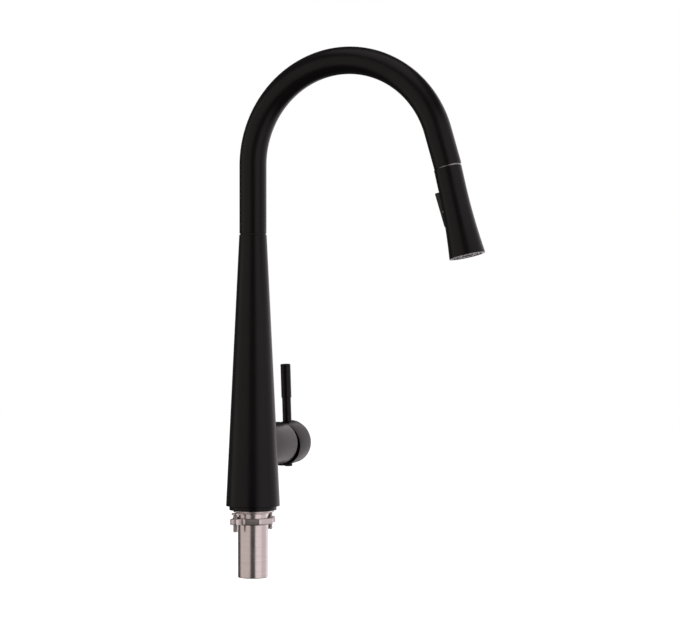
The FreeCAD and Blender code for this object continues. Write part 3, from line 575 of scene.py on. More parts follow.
# How each finish is made: a function and its arguments.
MAKERS = {
    "matt_black": (matt_black,), "black_plastic": (black_plastic,), "brushed_steel": (turned_steel,),
    "plate_steel": (plate_steel,), "hose_braid": (hose_braid,), "hose_sleeve": (hose_sleeve,),
    # Dark spring steel of the clip.
    "spring_steel": (steel_finish, "spring_steel", (0.30, 0.29, 0.28), (1200.0, 1200.0, 1200.0), 0.3, 0.42),
    # Machined brass with turning lines across the valve axis.
    "brass": (steel_finish, "machined_brass", (0.62, 0.45, 0.20), (2400.0, 80.0, 80.0), 0.28, 0.38),
    # Black rubber of the seals.
    "seal_rubber": (plain_finish, "seal_rubber", (0.012, 0.012, 0.012),
                    (0.022, 0.022, 0.021), 0.6, 0.75, 2200.0, 0.00003),
    # Grey silicone of the spray nozzles.
    "nozzle_rubber": (plain_finish, "nozzle_silicone", (0.15, 0.14, 0.145),
                      (0.19, 0.18, 0.185), 0.5, 0.6, 1600.0, 0.00002),
    # White alumina of the discs.
    "ceramic": (plain_finish, "alumina_ceramic", (0.74, 0.73, 0.70),
                (0.82, 0.81, 0.79), 0.16, 0.24, 3000.0, 0.000005),
    # Off-white acetal of the bushes and waterways.
    "acetal": (plain_finish, "acetal", (0.60, 0.59, 0.56), (0.68, 0.67, 0.64), 0.36, 0.46, 1400.0, 0.00001),
    # Plated ring magnet.
    "magnet": (steel_finish, "plated_magnet", (0.42, 0.42, 0.43), (700.0, 700.0, 700.0), 0.2, 0.3),
    # Satin grey plate of the spray face, with fine lines across.
    "face_plate": (steel_finish, "satin_face_plate", (0.36, 0.335, 0.345),
                   (60.0, 3000.0, 60.0), 0.34, 0.44),
    # Dark grey plastic of the aerator.
    "aerator_plastic": (plain_finish, "aerator_plastic", (0.075, 0.070, 0.074),
                        (0.10, 0.095, 0.098), 0.42, 0.52, 1500.0, 0.00002),
}
finishes = {}


def finish_of(name):
    """A finish by name, made the first time it is asked for."""
    if name not in finishes:
        maker, *values = MAKERS[name]
        finishes[name] = maker(*values)
    return finishes[name]


# ---- outlines of the painted pieces ----------------------------------------------------------
def head_points(node):
    """Vertices of a CAD node in the spray head's own frame, in millimetres."""
    return (node_points(node) - HEAD_SEAM) @ HEAD_TURN


def widest(points):
    """Largest distance from the Z axis."""
    return float(np.hypot(points[:, 0], points[:, 1]).max())


def edge_rows(low, high, main, radius):
    """Heights and insets of a wall's rows: quarter circles at both ends, the main rows between."""
    sweep = np.linspace(0, math.pi / 2, 5)[:-1]
    inset = radius * (1 - np.sin(sweep))
    rise = radius * (1 - np.cos(sweep))
    heights = np.concatenate([low + rise, main, (high - rise)[::-1]])
    insets = np.concatenate([inset, 0 * main, inset[::-1]])
    return heights, insets


def steps_through(*stops):
    """Numbers that run through (value, count to the next stop) pairs in even steps."""
    runs = [np.linspace(a[0], b[0], a[1], endpoint=False) for a, b in zip(stops, stops[1:])]
    return np.concatenate(runs + [np.array([stops[-1][0]])])


def round_hole(angle, height, centre, half_angle, half_height, hole_r, radius_at):
    """Bend a grid on a tapered wall so that the middle half of a patch becomes a round hole about +X.
    Rays of the square patch run from the hole's rim to the patch's edge. The rim is where the wall meets a
    cylinder: height = centre + R sin t and angle = asin(R cos t / wall radius)."""
    a, b = angle / half_angle, (height - centre) / half_height
    size = np.maximum(np.abs(a), np.abs(b))
    way = np.arctan2(b, a)
    rim_height = centre + hole_r * np.sin(way)
    rim_angle = np.arcsin(np.clip(hole_r * np.cos(way) / radius_at(rim_height), -1, 1))
    share = np.clip(2 * size - 1, 0, 1)
    safe = np.maximum(size, 1e-9)
    bent_angle = (1 - share) * rim_angle + share * angle / safe
    bent_height = (1 - share) * rim_height + share * (centre + (height - centre) / safe)
    inside = size < 1
    return np.where(inside, bent_angle, angle), np.where(inside, bent_height, height)


def column_wall(sizes):
    """Tapered column with its side hole, as a wall between an outer and an inner grid."""
    (_, _, low), (_, foot_r, high) = corners("body_shell")
    edge, wall, neck_length, bore_r = sizes.edge_round, 3.0, 53.0, 11.8
    top_r = reach_at(node_points("body_shell"), high - edge)
    hole_r = corners("valve_sleeve")[1][1] + 0.1
    patch, half_angle, level = 2 * hole_r, 2.25, VALVE[2]

    def radius_at(height):
        return foot_r + (top_r - foot_r) * (height - low - edge) / (high - low - 2 * edge)

    main = steps_through((low + edge, 6), (level - patch, 9), (level - patch / 2, 28), (level + patch / 2, 9),
                         (level + patch, 26), (high - edge, 0))
    heights, insets = edge_rows(low, high, main, edge)
    angles = steps_through((-half_angle, 11), (-half_angle / 2, 36), (half_angle / 2, 11), (half_angle, 30),
                           (TURN - half_angle, 0))[:-1]
    angle, height = np.broadcast_arrays(angles[None, :], heights[:, None])
    bent_angle, bent_height = round_hole(angle, height, level, half_angle, patch, hole_r, radius_at)
    outer_r = radius_at(bent_height) - insets[:, None]
    inner_r = np.where(bent_height > high - neck_length, bore_r, radius_at(bent_height) - wall)
    outer, inner = (about_z(r, bent_angle, bent_height)
                    for r in (outer_r, inner_r))
    face_height = (heights[1:] + heights[:-1]) / 2
    face_angle = angles + np.diff(np.append(angles, TURN - half_angle)) / 2
    in_hole = (np.abs(face_height - level) < patch / 2)[:, None] & (np.abs(face_angle) < half_angle / 2)[None]
    return walled(outer, inner, ~in_hole)


def spout_course():
    """Radius and centre height of the arch and length of the straight end, worked out from the spout's box,
    the seam and the direction of the end."""
    low, high = corners("spout_tube")
    sine, cosine = -SPOUT_END[1], -SPOUT_END[2]
    reach, lean = -SEAM[1] / (1 + cosine), sine / (1 + cosine)
    crown = high[2] - high[0]
    straight = (SEAM[2] - crown + reach * (1 - sine)) / (lean * (1 - sine) - cosine)
    arch_r = reach - lean * straight
    return arch_r, crown - arch_r, straight, low[2], high[0]


def spout_line(distance):
    """Centres and in-plane normals at distances along the spout: a leg, an arc of pi less the tilt, and a
    straight end."""
    arch_r, centre_z, _, foot, _ = spout_course()
    leg = centre_z - foot
    whole = math.pi - math.atan2(-SPOUT_END[1], -SPOUT_END[2])
    turn = np.clip((distance - leg) / arch_r, 0, whole)
    before = np.minimum(distance - leg, 0)
    after = np.maximum(distance - leg - arch_r * whole, 0)
    zero = np.zeros_like(turn)
    centres = np.stack([zero, -arch_r * (1 - np.cos(turn)), centre_z + arch_r * np.sin(turn) + before], -1)
    centres += after[:, None] * SPOUT_END
    return centres, np.stack([zero, np.cos(turn), np.sin(turn)], -1)


def spout_surface(sizes):
    """Bent tube: outer wall, rolled lips and inner wall, carried along the spout's line."""
    arch_r, centre_z, straight, foot, tube_r = spout_course()
    wall, lip = 1.2, 0.35
    leg = centre_z - foot
    bend = arch_r * (math.pi - math.atan2(-SPOUT_END[1], -SPOUT_END[2]))
    length = leg + bend + straight
    main = steps_through((lip, 8), (leg, 120), (leg + bend, 6), (length - lip, 0))
    outer_at, insets = edge_rows(0.0, length, main, lip)
    distance = np.concatenate([outer_at, outer_at[::-1]])
    radii = np.concatenate([tube_r - insets, np.full(len(outer_at), tube_r - wall)])
    centres, normals = spout_line(distance)
    across = np.broadcast_to(np.array([1.0, 0.0, 0.0]), normals.shape)
    angles = turn_angles(sizes.segments)
    return shell(carried(centres, across, normals, radii, angles), True)


def head_shape():
    """Outer radius of the spray head as a function of depth, and the depths of its top and foot: straight at
    first, then flaring with the square of the depth."""
    points = head_points("spray_shell")
    top, foot = -points[:, 2].max(), -points[:, 2].min()
    straight = 17.0
    top_r, foot_r = reach_at(points, -top, 0.4), reach_at(points, -foot, 0.4)
    flare = (foot_r - top_r) / (foot - straight) ** 2

    def radius_at(depth):
        return top_r + flare * np.maximum(0, depth - straight) ** 2

    return radius_at, top, foot


def head_wall():
    """Flared shell of the spray head with the rocker's window: columns of the grid bend so that two of them
    follow the window's sides, where sin(angle) = half width / radius."""
    radius_at, top, foot = head_shape()
    rocker = head_points("rocker_button")
    half_width = rocker[:, 0].max() + 0.35
    window_top, window_foot = -rocker[:, 2].max() - 1.1, -rocker[:, 2].min() + 0.35
    edge, wall, bore_r, near, far = 0.4, 1.8, 10.55, 0.5, 1.3
    main = steps_through((top + edge, 14), (window_top, 30), (window_foot, 26), (foot - edge, 0))
    depths, insets = edge_rows(top, foot, main, edge)
    angles = steps_through((-math.pi, 22), (-far, 10), (-near, 16), (near, 10), (far, 22), (math.pi, 0))[:-1]
    side = np.arcsin(half_width / radius_at(depths))[:, None]
    place = np.abs(angles)[None, :]
    inner_way = side * place / near
    outer_way = side + (place - near) * (far - side) / (far - near)
    way = np.where(place < near, inner_way, np.where(place < far, outer_way, place))
    way = np.sign(angles)[None, :] * way
    outer_r = (radius_at(depths) - insets)[:, None]
    inner_r = np.where(depths < top + edge, bore_r, radius_at(depths) - wall)[:, None]
    height = -np.broadcast_to(depths[:, None], way.shape)
    outer, inner = (np.stack([r * np.sin(way), r * np.cos(way), height], -1) for r in (outer_r, inner_r))
    face_depth = (depths[1:] + depths[:-1]) / 2
    face_angle = angles + np.diff(np.append(angles, math.pi)) / 2
    in_window = (face_depth > window_top) & (face_depth < window_foot)
    in_window = in_window[:, None] & (np.abs(face_angle) < near)[None]
    return walled(outer, inner, ~in_window)


def rocker_form():
    """Rocker button: rounded cross sections from its inner face to a sloping crowned outer face. The ends
    close with quarter circles, whose insets shrink each section towards its middle."""
    points = head_points("rocker_button")
    half_width = points[:, 0].max()
    start, stop = points[:, 2].max(), points[:, 2].min()
    inner_y = 10.4
    top_y = points[points[:, 2] > start - 2.5][:, 1].max()
    foot_y = points[points[:, 2] < stop + 2.5][:, 1].max()
    round_off, count, crown = 0.9, 64, 0.5
    height = steps_through((start - round_off, 22), (stop + round_off, 0))
    ends, insets = edge_rows(stop, start, height[::-1], round_off)
    ends = np.concatenate([[stop], ends, [start]])
    insets = np.concatenate([[half_width], insets, [half_width]])
    share = (ends - start) / (stop - start)
    outer_y = top_y + (foot_y - top_y) * share
    half_depth, centre_y = (outer_y - inner_y) / 2, (outer_y + inner_y) / 2
    angle = turn_angles(count)
    power = 0.28
    across = np.sign(np.cos(angle)) * np.abs(np.cos(angle)) ** power
    out = np.sign(np.sin(angle)) * np.abs(np.sin(angle)) ** power
    wide = np.maximum(half_width - insets, 0)[:, None]
    deep = np.maximum(half_depth - insets, 0)[:, None]
    x = wide * across
    y = centre_y[:, None] + deep * out - crown * (x / half_width) ** 2 * (out > 0) * (deep > 0)
    return shell(np.stack([x, y, np.broadcast_to(ends[:, None], x.shape)], -1), False)


# ---- outlines of the steel pieces --------------------------------------------------------------
def plan_bar(angle, reach, half_width):
    """Distance from the centre to the edge of a bar with round ends, seen in plan, for each direction."""
    along, aside = np.abs(np.cos(angle)), np.abs(np.sin(angle))
    centre = reach - half_width
    on_side = half_width / np.maximum(aside, 1e-9)
    root = np.maximum(half_width ** 2 - (centre * aside) ** 2, 0)
    on_end = centre * along + np.sqrt(root)
    return np.where(on_side * along < centre, on_side, on_end)


def plan_ring(radius, bore_r, low, high, edge):
    """Flat ring with a plan outline: bevelled outer edges and a plain bore, as rows of a closed loop."""
    heights = np.array([low, low, low + edge * 0.3, low + edge, high - edge, high - edge * 0.3, high, high])
    insets = np.array([0, edge, edge * 0.3, 0, 0, edge * 0.3, edge, 0])
    angle = turn_angles(len(radius))
    rows = radius[None, :] - insets[:, None]
    rows[0] = rows[-1] = bore_r
    return shell(about_z(rows, angle, heights[:, None]), True)


def clamp_angle():
    """Direction of the nut's two ears, from the screws' places."""
    points = node_points("clamp_screws")
    right = points[points[:, 0] > 0].mean(0)
    return math.atan2(right[1], right[0]), float(np.hypot(right[0], right[1]))


def clamp_plate_form(sizes):
    """Clamp plate: a round plate with two lower ears for the screws to press on."""
    low, high = corners("clamp_plate")
    lean, _ = clamp_angle()
    angle = turn_angles(PLAN_STEPS)
    step = (low[2] + high[2]) / 2
    bore_r = corners("shank_tube")[1][0] + 0.3
    disc = plan_ring(np.full(len(angle), 20.2), bore_r, step, high[2], sizes.steel_round)
    ears = np.maximum(plan_bar(angle - lean, 29.0, 4.0), bore_r + 1.2)
    return [disc, plan_ring(ears, bore_r, low[2], step + 0.02, sizes.steel_round)]


def ring_nut_form(sizes):
    """Ring nut: eight flats cut from a round and two ears with round ends."""
    low, high = corners("ring_nut")
    lean, _ = clamp_angle()
    angle = turn_angles(PLAN_STEPS)
    eighth = TURN / 8
    flats = 22.6 * math.cos(eighth / 2) / np.cos(np.mod(angle, eighth) - eighth / 2)
    outline = np.maximum(np.minimum(flats, 22.1), plan_bar(angle - lean, 30.6, 5.2))
    bore_r = corners("shank_tube")[1][0] + 0.1
    return [plan_ring(outline, bore_r, low[2], high[2], sizes.steel_round * 1.4)]


def screw_form(sizes):
    """Clamp screw: a helical thread, radius = crest less depth times a triangle wave of height / pitch less
    the share of a turn, between a cupped point at the top and a slotted end at the foot."""
    low, high = corners("clamp_screws")
    radius, pitch = 2.4, sizes.screw_pitch
    depth, slot_depth, side_count = 0.42, 1.4, 10
    side = np.concatenate([np.linspace(-1, -0.3, side_count), [-0.2, 0.2], np.linspace(0.3, 1, side_count)])
    a, b = np.meshgrid(side, side, indexing="ij")
    disc = np.stack([a * np.sqrt(1 - b ** 2 / 2), b * np.sqrt(1 - a ** 2 / 2)], -1)
    in_slot = np.abs(b) < 0.25
    count = len(side)
    floor = np.where(in_slot, low[2] + slot_depth, low[2])
    face_r = radius - 0.35
    face = np.concatenate([disc * face_r, floor[..., None]], -1)
    edge = np.concatenate([np.arange(count) * count, (count - 1) * count + np.arange(1, count),
                           (np.arange(count - 2, -1, -1)) * count + count - 1, np.arange(count - 2, 0, -1)])
    i, j = np.meshgrid(np.arange(count - 1), np.arange(count - 1), indexing="ij")
    corner = i * count + j
    face_quads = np.stack([corner, corner + 1, corner + count + 1, corner + count], -1).reshape(-1, 4)
    rim = face.reshape(-1, 3)[edge]
    angle = np.arctan2(rim[:, 1], rim[:, 0])
    heights = np.arange(low[2] + slot_depth + 0.3, high[2] - 0.3, pitch / 6)
    wave = np.mod(heights[:, None] / pitch - angle[None] / TURN, 1.0)
    thread = radius - depth * np.abs(2 * wave - 1)
    rows_r = np.concatenate([np.full((1, len(angle)), radius - 0.05), thread,
                             np.full((1, len(angle)), radius - depth), np.full((1, len(angle)), 0.0)])
    rows_z = np.concatenate([[low[2] + slot_depth + 0.1], heights, [high[2]], [high[2] - 0.4]])
    grid = np.concatenate([rim[None], about_z(rows_r, angle, rows_z[:, None])])
    points, faces = shell(grid, False)
    face_points = face.reshape(-1, 3)
    return np.concatenate([face_points, points]), np.concatenate([face_quads, faces + len(face_points)])


# ---- outlines of the spray face -------------------------------------------------------------
def repeated(part, places):
    """One surface copied to many places, as one set of points and faces."""
    points, faces = part
    places = np.asarray(places, float)
    many = (points[None] + places[:, None]).reshape(-1, 3)
    steps = np.arange(len(places)) * len(points)
    return many, (faces[None] + steps[:, None, None]).reshape(-1, 4)


def ring_places(rows):
    """Places on circles: (radius, count) pairs, evenly spaced."""
    return np.concatenate([about_z(radius, turn_angles(count), 0.0) for radius, count in rows])


def bar_grid(radius, pitch, width, low, high):
    """Crossing flat bars that fill a circle: each bar is as long as the chord at its offset."""
    offsets = np.arange(-math.floor(radius / pitch), math.floor(radius / pitch) + 1) * pitch
    half = np.sqrt(radius ** 2 - offsets ** 2)
    unit = np.array([(x, y, z) for x in (-1, 1) for y in (-1, 1) for z in (0, 1)], float)
    faces = np.array([(0, 1, 3, 2), (4, 6, 7, 5), (0, 4, 5, 1), (2, 3, 7, 6), (0, 2, 6, 4), (1, 5, 7, 3)])
    bars = (faces[None] + np.arange(len(offsets))[:, None, None] * 8).reshape(-1, 4)
    parts = []
    for swap, lift in ((False, 0.0), (True, 0.12)):
        x = unit[None, :, 0] * half[:, None]
        y = offsets[:, None] + unit[None, :, 1] * width / 2
        z = low + lift + unit[None, :, 2] * (high - low) + 0 * x
        parts.append((np.stack([y, x, z] if swap else [x, y, z], -1).reshape(-1, 3), bars))
    return parts


# ---- operators --------------------------------------------------------------------------------
class PieceOperator:
    """What the operators of the pieces share."""

    bl_options = {"REGISTER", "UNDO"}

    def execute(self, context):
        self.make(context.scene.faucet_sizes)
        return {"FINISHED"}


class FAUCET_OT_column(PieceOperator, bpy.types.Operator):
    """Tapered column and the black ring that it stands on"""

    bl_idname = "faucet.column"
    bl_label = "Column"

    def make(self, sizes):
        build("column_shell", [column_wall(sizes)], "column", "matt_black", ["body_shell"])
        low, high = corners("base_ring")
        bore_r, step_r, step = corners("shank_tube")[1][0] + 0.3, high[0] - 3.9, 1.6
        outline = rounded([(bore_r, high[2], 0), (bore_r, step, 0), (step_r, step, 0.2),
                           (step_r, low[2], 0.2), (high[0], low[2], 0.5), (high[0], high[2], 0.3)])
        build("foot_ring", [turned(outline, sizes.segments)], "column", "matt_black", ["base_ring"])


class FAUCET_OT_shank(PieceOperator, bpy.types.Operator):
    """Steel shank under the column, with a rounded foot and a chamfered bore"""

    bl_idname = "faucet.shank"
    bl_label = "Shank"

    def make(self, sizes):
        low, high = corners("shank_tube")
        radius, bore_r = high[0], high[0] - 1.5
        step = radius - 0.4
        outline = rounded([(bore_r, high[2], 0.2), (bore_r, low[2], 0.6), (radius, low[2], 0.9),
                           (radius, -15.0, 0.2), (step, -14.6, 0.2), (step, high[2], 0.2)])
        build("threaded_shank", [turned(outline, sizes.segments)], "column", "brushed_steel", ["shank_tube"])


class FAUCET_OT_clamp(PieceOperator, bpy.types.Operator):
    """Clamp plate, ring nut with two ears and the two threaded clamp screws"""

    bl_idname = "faucet.clamp"
    bl_label = "Clamp"

    def make(self, sizes):
        build("clamp_washer", clamp_plate_form(sizes), "deck_clamp", "brushed_steel",
              ["clamp_plate"], "plate_steel")
        build("eared_nut", ring_nut_form(sizes), "deck_clamp", "brushed_steel", ["ring_nut"], "plate_steel")
        lean, reach = clamp_angle()
        places = [(side * reach * math.cos(lean), side * reach * math.sin(lean), 0.0) for side in (-1, 1)]
        screws = [moved(screw_form(sizes), shift=place) for place in places]
        build("slotted_screws", screws, "deck_clamp", "brushed_steel", ["clamp_screws"], "plate_steel")


class FAUCET_OT_valve(PieceOperator, bpy.types.Operator):
    """Round valve housing"""

    bl_idname = "faucet.valve"
    bl_label = "Valve housing"

    def make(self, sizes):
        low, high = corners("valve_sleeve")
        radius, bore_r = high[1], high[1] - 1.5
        outline = rounded([(bore_r, low[0], 0), (radius, low[0], 0), (radius, high[0], sizes.edge_round),
                           (bore_r, high[0], 0.35)])
        build("valve_housing", [along_valve(turned(outline, sizes.segments))], "column", "matt_black",
              ["valve_sleeve"])


class FAUCET_OT_handle(PieceOperator, bpy.types.Operator):
    """Round cap, lever stem and thicker grip"""

    bl_idname = "faucet.handle"
    bl_label = "Handle"

    def make(self, sizes):
        back, front, radius, bore_r, boss_r = 69.2, 98.4, 22.9, 19.9, 10.5
        floor, boss_back = front - 5.0, 82.2
        outline = rounded([(0, boss_back, 0), (boss_r, boss_back, 0.3), (boss_r, floor, 0.5),
                           (bore_r, floor, 0.5), (bore_r, back, 0.3), (radius, back, 0.4),
                           (radius, front, 1.1), (0, front, 0)], closed=False)
        cap = leant(along_valve(turned(outline, sizes.segments, False)))
        build("lever_cap", [cap], "handle", "matt_black", ["handle_cap"])
        level, stem_r, grip_r = VALVE[2], 4.7, 5.35
        foot, shoulder, top = level + 6, level + 48.0, level + 83.9
        rod = rounded([(0, foot, 0), (stem_r, foot, 0.3), (stem_r, shoulder, 0), (0, shoulder, 0)],
                      closed=False)
        grip = rounded([(0, shoulder, 0), (grip_r, shoulder, 0.45), (grip_r, top, 0.6), (0, top, 0)],
                       closed=False)
        at_lever = (88.0, 0, 0)
        for name, node, outline, steps in (("lever_rod", "lever_stem", rod, 48),
                                           ("lever_end", "lever_grip", grip, 64)):
            piece = leant(moved(turned(outline, steps, False), shift=at_lever))
            build(name, [piece], "handle", "matt_black", [node])


class FAUCET_OT_spout(PieceOperator, bpy.types.Operator):
    """Arched spout tube and the thin washer in the seam under it"""

    bl_idname = "faucet.spout"
    bl_label = "Spout"

    def make(self, sizes):
        build("arched_spout", [spout_surface(sizes)], "spout", "matt_black", ["spout_tube"])
        low, high = corners("swivel_washer")
        bore_r = 10.3
        outline = rounded([(bore_r, low[2], 0), (high[0], low[2], 0.25), (high[0], high[2], 0.25),
                           (bore_r, high[2], 0)])
        build("seam_washer", [turned(outline, sizes.segments)], "column", "brushed_steel",
              ["swivel_washer"], "black_plastic")


class FAUCET_OT_hose(PieceOperator, bpy.types.Operator):
    """End of the spray hose: a fluted tube"""

    bl_idname = "faucet.hose"
    bl_label = "Hose end"

    def make(self, sizes):
        points = (node_points("spray_hose_end") - SEAM) @ DOCK_TURN
        radius, low, high = widest(points), points[:, 2].min(), points[:, 2].max()
        columns, groove = sizes.flutes * 8, 0.18
        angle = turn_angles(columns)
        height = np.concatenate([[low], np.linspace(low, high, 60), [high]])
        ring = radius - groove * (1 - np.abs(np.sin(angle * sizes.flutes / 2)))
        spread = np.ones(len(height))
        spread[[0, -1]] = 0
        reach = spread[:, None] * ring[None]
        grid = about_z(reach, angle, height[:, None])
        piece = build("hose_end_cover", [dock(shell(grid, False))], None, "hose_braid",
                      ["spray_hose_end"], "hose_sleeve", 60.0)
        places = np.empty(len(piece.data.vertices) * 3, np.float32)
        piece.data.vertices.foreach_get("co", places)
        local = (places.reshape(-1, 3) / MM - SEAM) @ DOCK_TURN
        share = np.arctan2(local[:, 1], local[:, 0]) / TURN + 0.5
        layer = piece.data.attributes.new("round_share", "FLOAT", "POINT")
        layer.data.foreach_set("value", share.astype(np.float32))
        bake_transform(piece)


class FAUCET_OT_head(PieceOperator, bpy.types.Operator):
    """Flared shell of the spray head, with the rocker's window"""

    bl_idname = "faucet.head"
    bl_label = "Spray head"

    def make(self, sizes):
        build("head_shell", [hang(head_wall())], "spray_head", "matt_black", ["spray_shell"])


class FAUCET_OT_rocker(PieceOperator, bpy.types.Operator):
    """Rocker button that switches the spray"""

    bl_idname = "faucet.rocker"
    bl_label = "Rocker button"

    def make(self, sizes):
        points = head_points("rocker_button")
        finger_tip = points[:, 1].min()
        pivot = (joint_place("rocker_tilt") - HEAD_SEAM) @ HEAD_TURN
        finger_r, root = 1.3, 12.0
        outline = rounded([(0, finger_tip, 0), (finger_r, finger_tip, 0.5), (finger_r, root, 0),
                           (0, root, 0)], closed=False)
        finger = moved(turned(outline, 24, False), np.array(Matrix.Rotation(-math.pi / 2, 3, "X")),
                       (0, 0, pivot[2]))
        build("rocker_cover", [hang(rocker_form()), hang(finger)], "spray_rocker", "black_plastic",
              ["rocker_button"])


class FAUCET_OT_face(PieceOperator, bpy.types.Operator):
    """Ring round the spray face, silicone nozzles and the aerator's grid"""

    bl_idname = "faucet.face"
    bl_label = "Spray face"

    def make(self, sizes):
        ring = head_points("face_ring")
        foot, rim_r, top = ring[:, 2].min(), widest(ring), ring[:, 2].max()
        inner_r = np.hypot(ring[:, 0], ring[:, 1]).min()
        back_r, lip = rim_r - 1.3, 0.45
        outline = rounded([(inner_r, top, 0), (inner_r, foot, 0.35), (rim_r, foot, 0.2),
                           (rim_r, foot + lip, 0.1), (back_r, foot + lip, 0), (back_r, top, 0.2)])
        build("face_rim", [hang(turned(outline, sizes.segments))], "spray_head", "brushed_steel",
              ["face_ring"], "spring_steel")
        mat = head_points("nozzle_mat")
        tip, back = mat[:, 2].min(), mat[:, 2].max()
        nozzle = rounded([(0, tip + 0.5, 0), (0.28, tip + 0.5, 0.05), (0.28, tip, 0.05), (0.5, tip, 0.12),
                          (0.75, tip + 1.0, 0.1), (0.75, back, 0), (0, back, 0)], closed=False, steps=3)
        rows = ((10.2, 14), (13.6, 20))
        nozzles = repeated(turned(nozzle, 14, False), ring_places(rows))
        mat_low, mat_r = back - 1.0, widest(mat)
        sheet = rounded([(7.1, mat_low, 0), (mat_r, mat_low, 0.1), (mat_r, back, 0.1), (7.1, back, 0)])
        build("spray_nozzles", [hang(nozzles), hang(turned(sheet, 72))], "spray_head", "nozzle_rubber",
              ["nozzle_mat"])
        aerator = head_points("aerator")
        low, high, radius = aerator[:, 2].min(), aerator[:, 2].max(), widest(aerator)
        cup = rounded([(0, low + 1.6, 0), (radius - 1.2, low + 1.6, 0.1), (radius - 1.2, low, 0.25),
                       (radius, low, 0.25), (radius, high, 0.2), (0, high, 0)], closed=False)
        grid = bar_grid(radius - 1.15, 1.15, 0.3, low + 0.45, low + 0.95)
        build("aerator_grid", [hang(turned(cup, 72, False))] + [hang(bars) for bars in grid], "spray_head",
              "aerator_plastic", ["aerator"])


class FAUCET_OT_inner(PieceOperator, bpy.types.Operator):
    """Finishes of the CAD pieces that keep their own shape"""

    bl_idname = "faucet.inner"
    bl_label = "Inner pieces"
    special = {"dock_neck": "spring_steel"}

    def make(self, sizes):
        slots = {part["node"]: part["material_slot"] for part in frame["record"]["subparts"]}
        for node, piece in frame["nodes"].items():
            if piece.hide_render:
                continue
            piece.data.materials.clear()
            piece.data.materials.append(finish_of(self.special.get(node, slots[node])))


class FAUCET_OT_stage(PieceOperator, bpy.types.Operator):
    """Pale floor, soft studio light and the camera"""

    bl_idname = "faucet.stage"
    bl_label = "Studio"

    def make(self, sizes):
        make_floor()
        make_lights()
        make_world()
        make_camera()


# ---- studio -----------------------------------------------------------------------------------
BACK = Vector((-0.9209, -0.3898, 0.0))
RIGHT = Vector((0.3898, -0.9209, 0.0))
EYE = Vector((-2.2671, -1.0575, 0.2018))
FLOOR_LEVEL = -0.2


def make_floor():
    """Wide pale floor, lit evenly so that it meets the pale background without an edge."""
    half = 6.0
    mesh = bpy.data.meshes.new("studio_floor")
    points = [(x, y, FLOOR_LEVEL) for x, y in ((-half, -half), (half, -half), (half, half), (-half, half))]
    mesh.from_pydata(points, [], [(0, 1, 2, 3)])
    floor = bpy.data.objects.new("studio_floor", mesh)
    bpy.context.scene.collection.objects.link(floor)
    mat = bpy.data.materials.new("Backdrop")
    mat.use_nodes = True
    shader = mat.node_tree.nodes["Principled BSDF"]
    shader.inputs["Base Color"].default_value = (*bpy.context.scene.faucet_colours.backdrop, 1.0)
    shader.inputs["Roughness"].default_value = 0.9
    shader.inputs["Emission Color"].default_value = (1, 1, 1, 1)
    shader.inputs["Emission Strength"].default_value = 1.0
    mesh.materials.append(mat)
    floor.visible_glossy = False
    floor.visible_diffuse = False


def soft_box(name, angle, width, power, tint, rise=0.0, height=2.2):
    """Soft light facing the faucet, at an angle to the right of the camera and a rise above the horizon."""
    turn, lift = math.radians(angle), math.radians(rise)
    aim = (BACK * math.cos(turn) + RIGHT * math.sin(turn)) * math.cos(lift) + Vector((0, 0, math.sin(lift)))
    data = bpy.data.lights.new(name, "AREA")
    data.shape = "RECTANGLE"
    data.size, data.size_y = width, height
    data.energy, data.color = power, tint
    lamp = bpy.data.objects.new(name, data)
    lamp.location = aim * 1.6 + Vector((0, 0, 0.25))
    lamp.rotation_euler = aim.to_track_quat("Z", "Y").to_euler()
    lamp.visible_camera = False
    bpy.context.scene.collection.objects.link(lamp)


def make_lights():
    """Three soft boxes on the right, a wide warm one on the left, one above and a dark gap in front."""
    soft_box("right_box", 45, 1.49, 11.3, (1.0, 0.91, 0.94))
    soft_box("right_back_box", 100, 1.85, 10.0, (1.0, 0.91, 0.94))
    soft_box("right_far_box", 148, 1.3, 9.5, (1.0, 0.91, 0.94))
    soft_box("top_box", 0, 1.6, 7.5, (1.0, 0.92, 0.93), 75, 1.6)
    soft_box("left_box", -64, 3.3, 17.0, (1.0, 0.88, 0.86))


def make_world():
    """White behind the faucet for the eye, a dim grey for everything else."""
    world = bpy.data.worlds.new("Studio")
    world.use_nodes = True
    nodes, links = world.node_tree.nodes, world.node_tree.links
    background = nodes["Background"]
    path, mixer = nodes.new("ShaderNodeLightPath"), nodes.new("ShaderNodeMix")
    mixer.inputs["A"].default_value = 0.09
    mixer.inputs["B"].default_value = 1.0
    links.new(path.outputs["Is Camera Ray"], mixer.inputs["Factor"])
    links.new(mixer.outputs["Result"], background.inputs["Strength"])
    background.inputs["Color"].default_value = (1, 1, 1, 1)
    bpy.context.scene.world = world
    bpy.context.scene.view_settings.view_transform = "Standard"


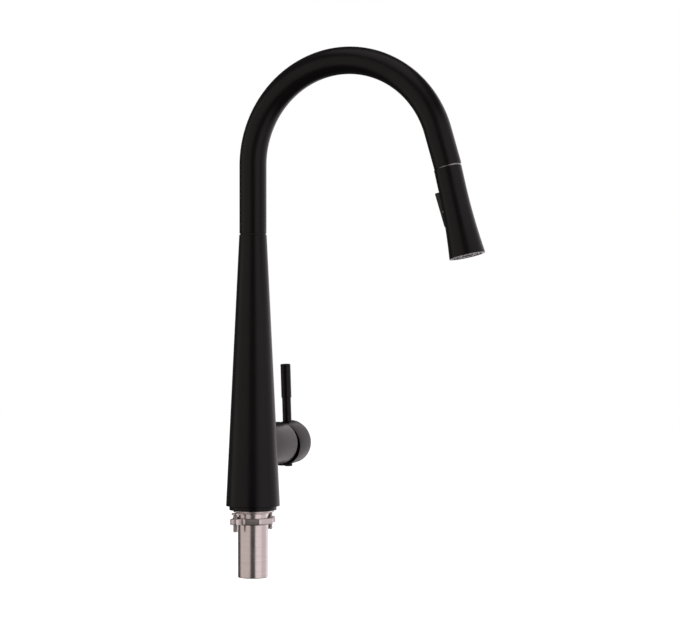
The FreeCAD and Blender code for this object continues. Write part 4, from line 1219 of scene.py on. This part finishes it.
def make_camera():
    """Level camera beside the lever, looking across the faucet."""
    data = bpy.data.cameras.new("Main view")
    data.lens, data.sensor_width = 127.77, 36.0
    data.clip_end = 30.0
    camera = bpy.data.objects.new("Main view", data)
    camera.location = EYE
    camera.rotation_euler = BACK.to_track_quat("Z", "Y").to_euler()
    bpy.context.scene.collection.objects.link(camera)
    bpy.context.scene.camera = camera


# ---- panel and registration ---------------------------------------------------------------------
OPERATORS = [
    FAUCET_OT_column, FAUCET_OT_shank, FAUCET_OT_clamp, FAUCET_OT_valve, FAUCET_OT_handle, FAUCET_OT_spout,
    FAUCET_OT_hose, FAUCET_OT_head, FAUCET_OT_rocker, FAUCET_OT_face, FAUCET_OT_inner, FAUCET_OT_stage,
]


class FAUCET_PT_panel(bpy.types.Panel):
    """Sidebar panel that lists the sizes, colours and pieces"""

    bl_idname = "FAUCET_PT_panel"
    bl_label = "Pull-down faucet"
    bl_space_type = "VIEW_3D"
    bl_region_type = "UI"
    bl_category = "Faucet"

    def draw(self, context):
        for group in (context.scene.faucet_sizes, context.scene.faucet_colours):
            for name in group.__annotations__:
                self.layout.prop(group, name)
        for operator in OPERATORS:
            self.layout.operator(operator.bl_idname)


CLASSES = [FaucetSizes, FaucetColours] + OPERATORS + [FAUCET_PT_panel]


def register():
    """Registers the classes and the settings of the scene."""
    for cls in CLASSES:
        bpy.utils.register_class(cls)
    bpy.types.Scene.faucet_sizes = bpy.props.PointerProperty(type=FaucetSizes)
    bpy.types.Scene.faucet_colours = bpy.props.PointerProperty(type=FaucetColours)


def unregister():
    """Takes the settings and the classes away again."""
    del bpy.types.Scene.faucet_sizes
    del bpy.types.Scene.faucet_colours
    for cls in reversed(CLASSES):
        bpy.utils.unregister_class(cls)


def main():
    """Builds every piece and the studio."""
    register()
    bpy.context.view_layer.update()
    for operator in OPERATORS:
        group, name = operator.bl_idname.split(".")
        getattr(getattr(bpy.ops, group), name)()
    bpy.context.view_layer.update()


if __name__ == "__main__":
    main()
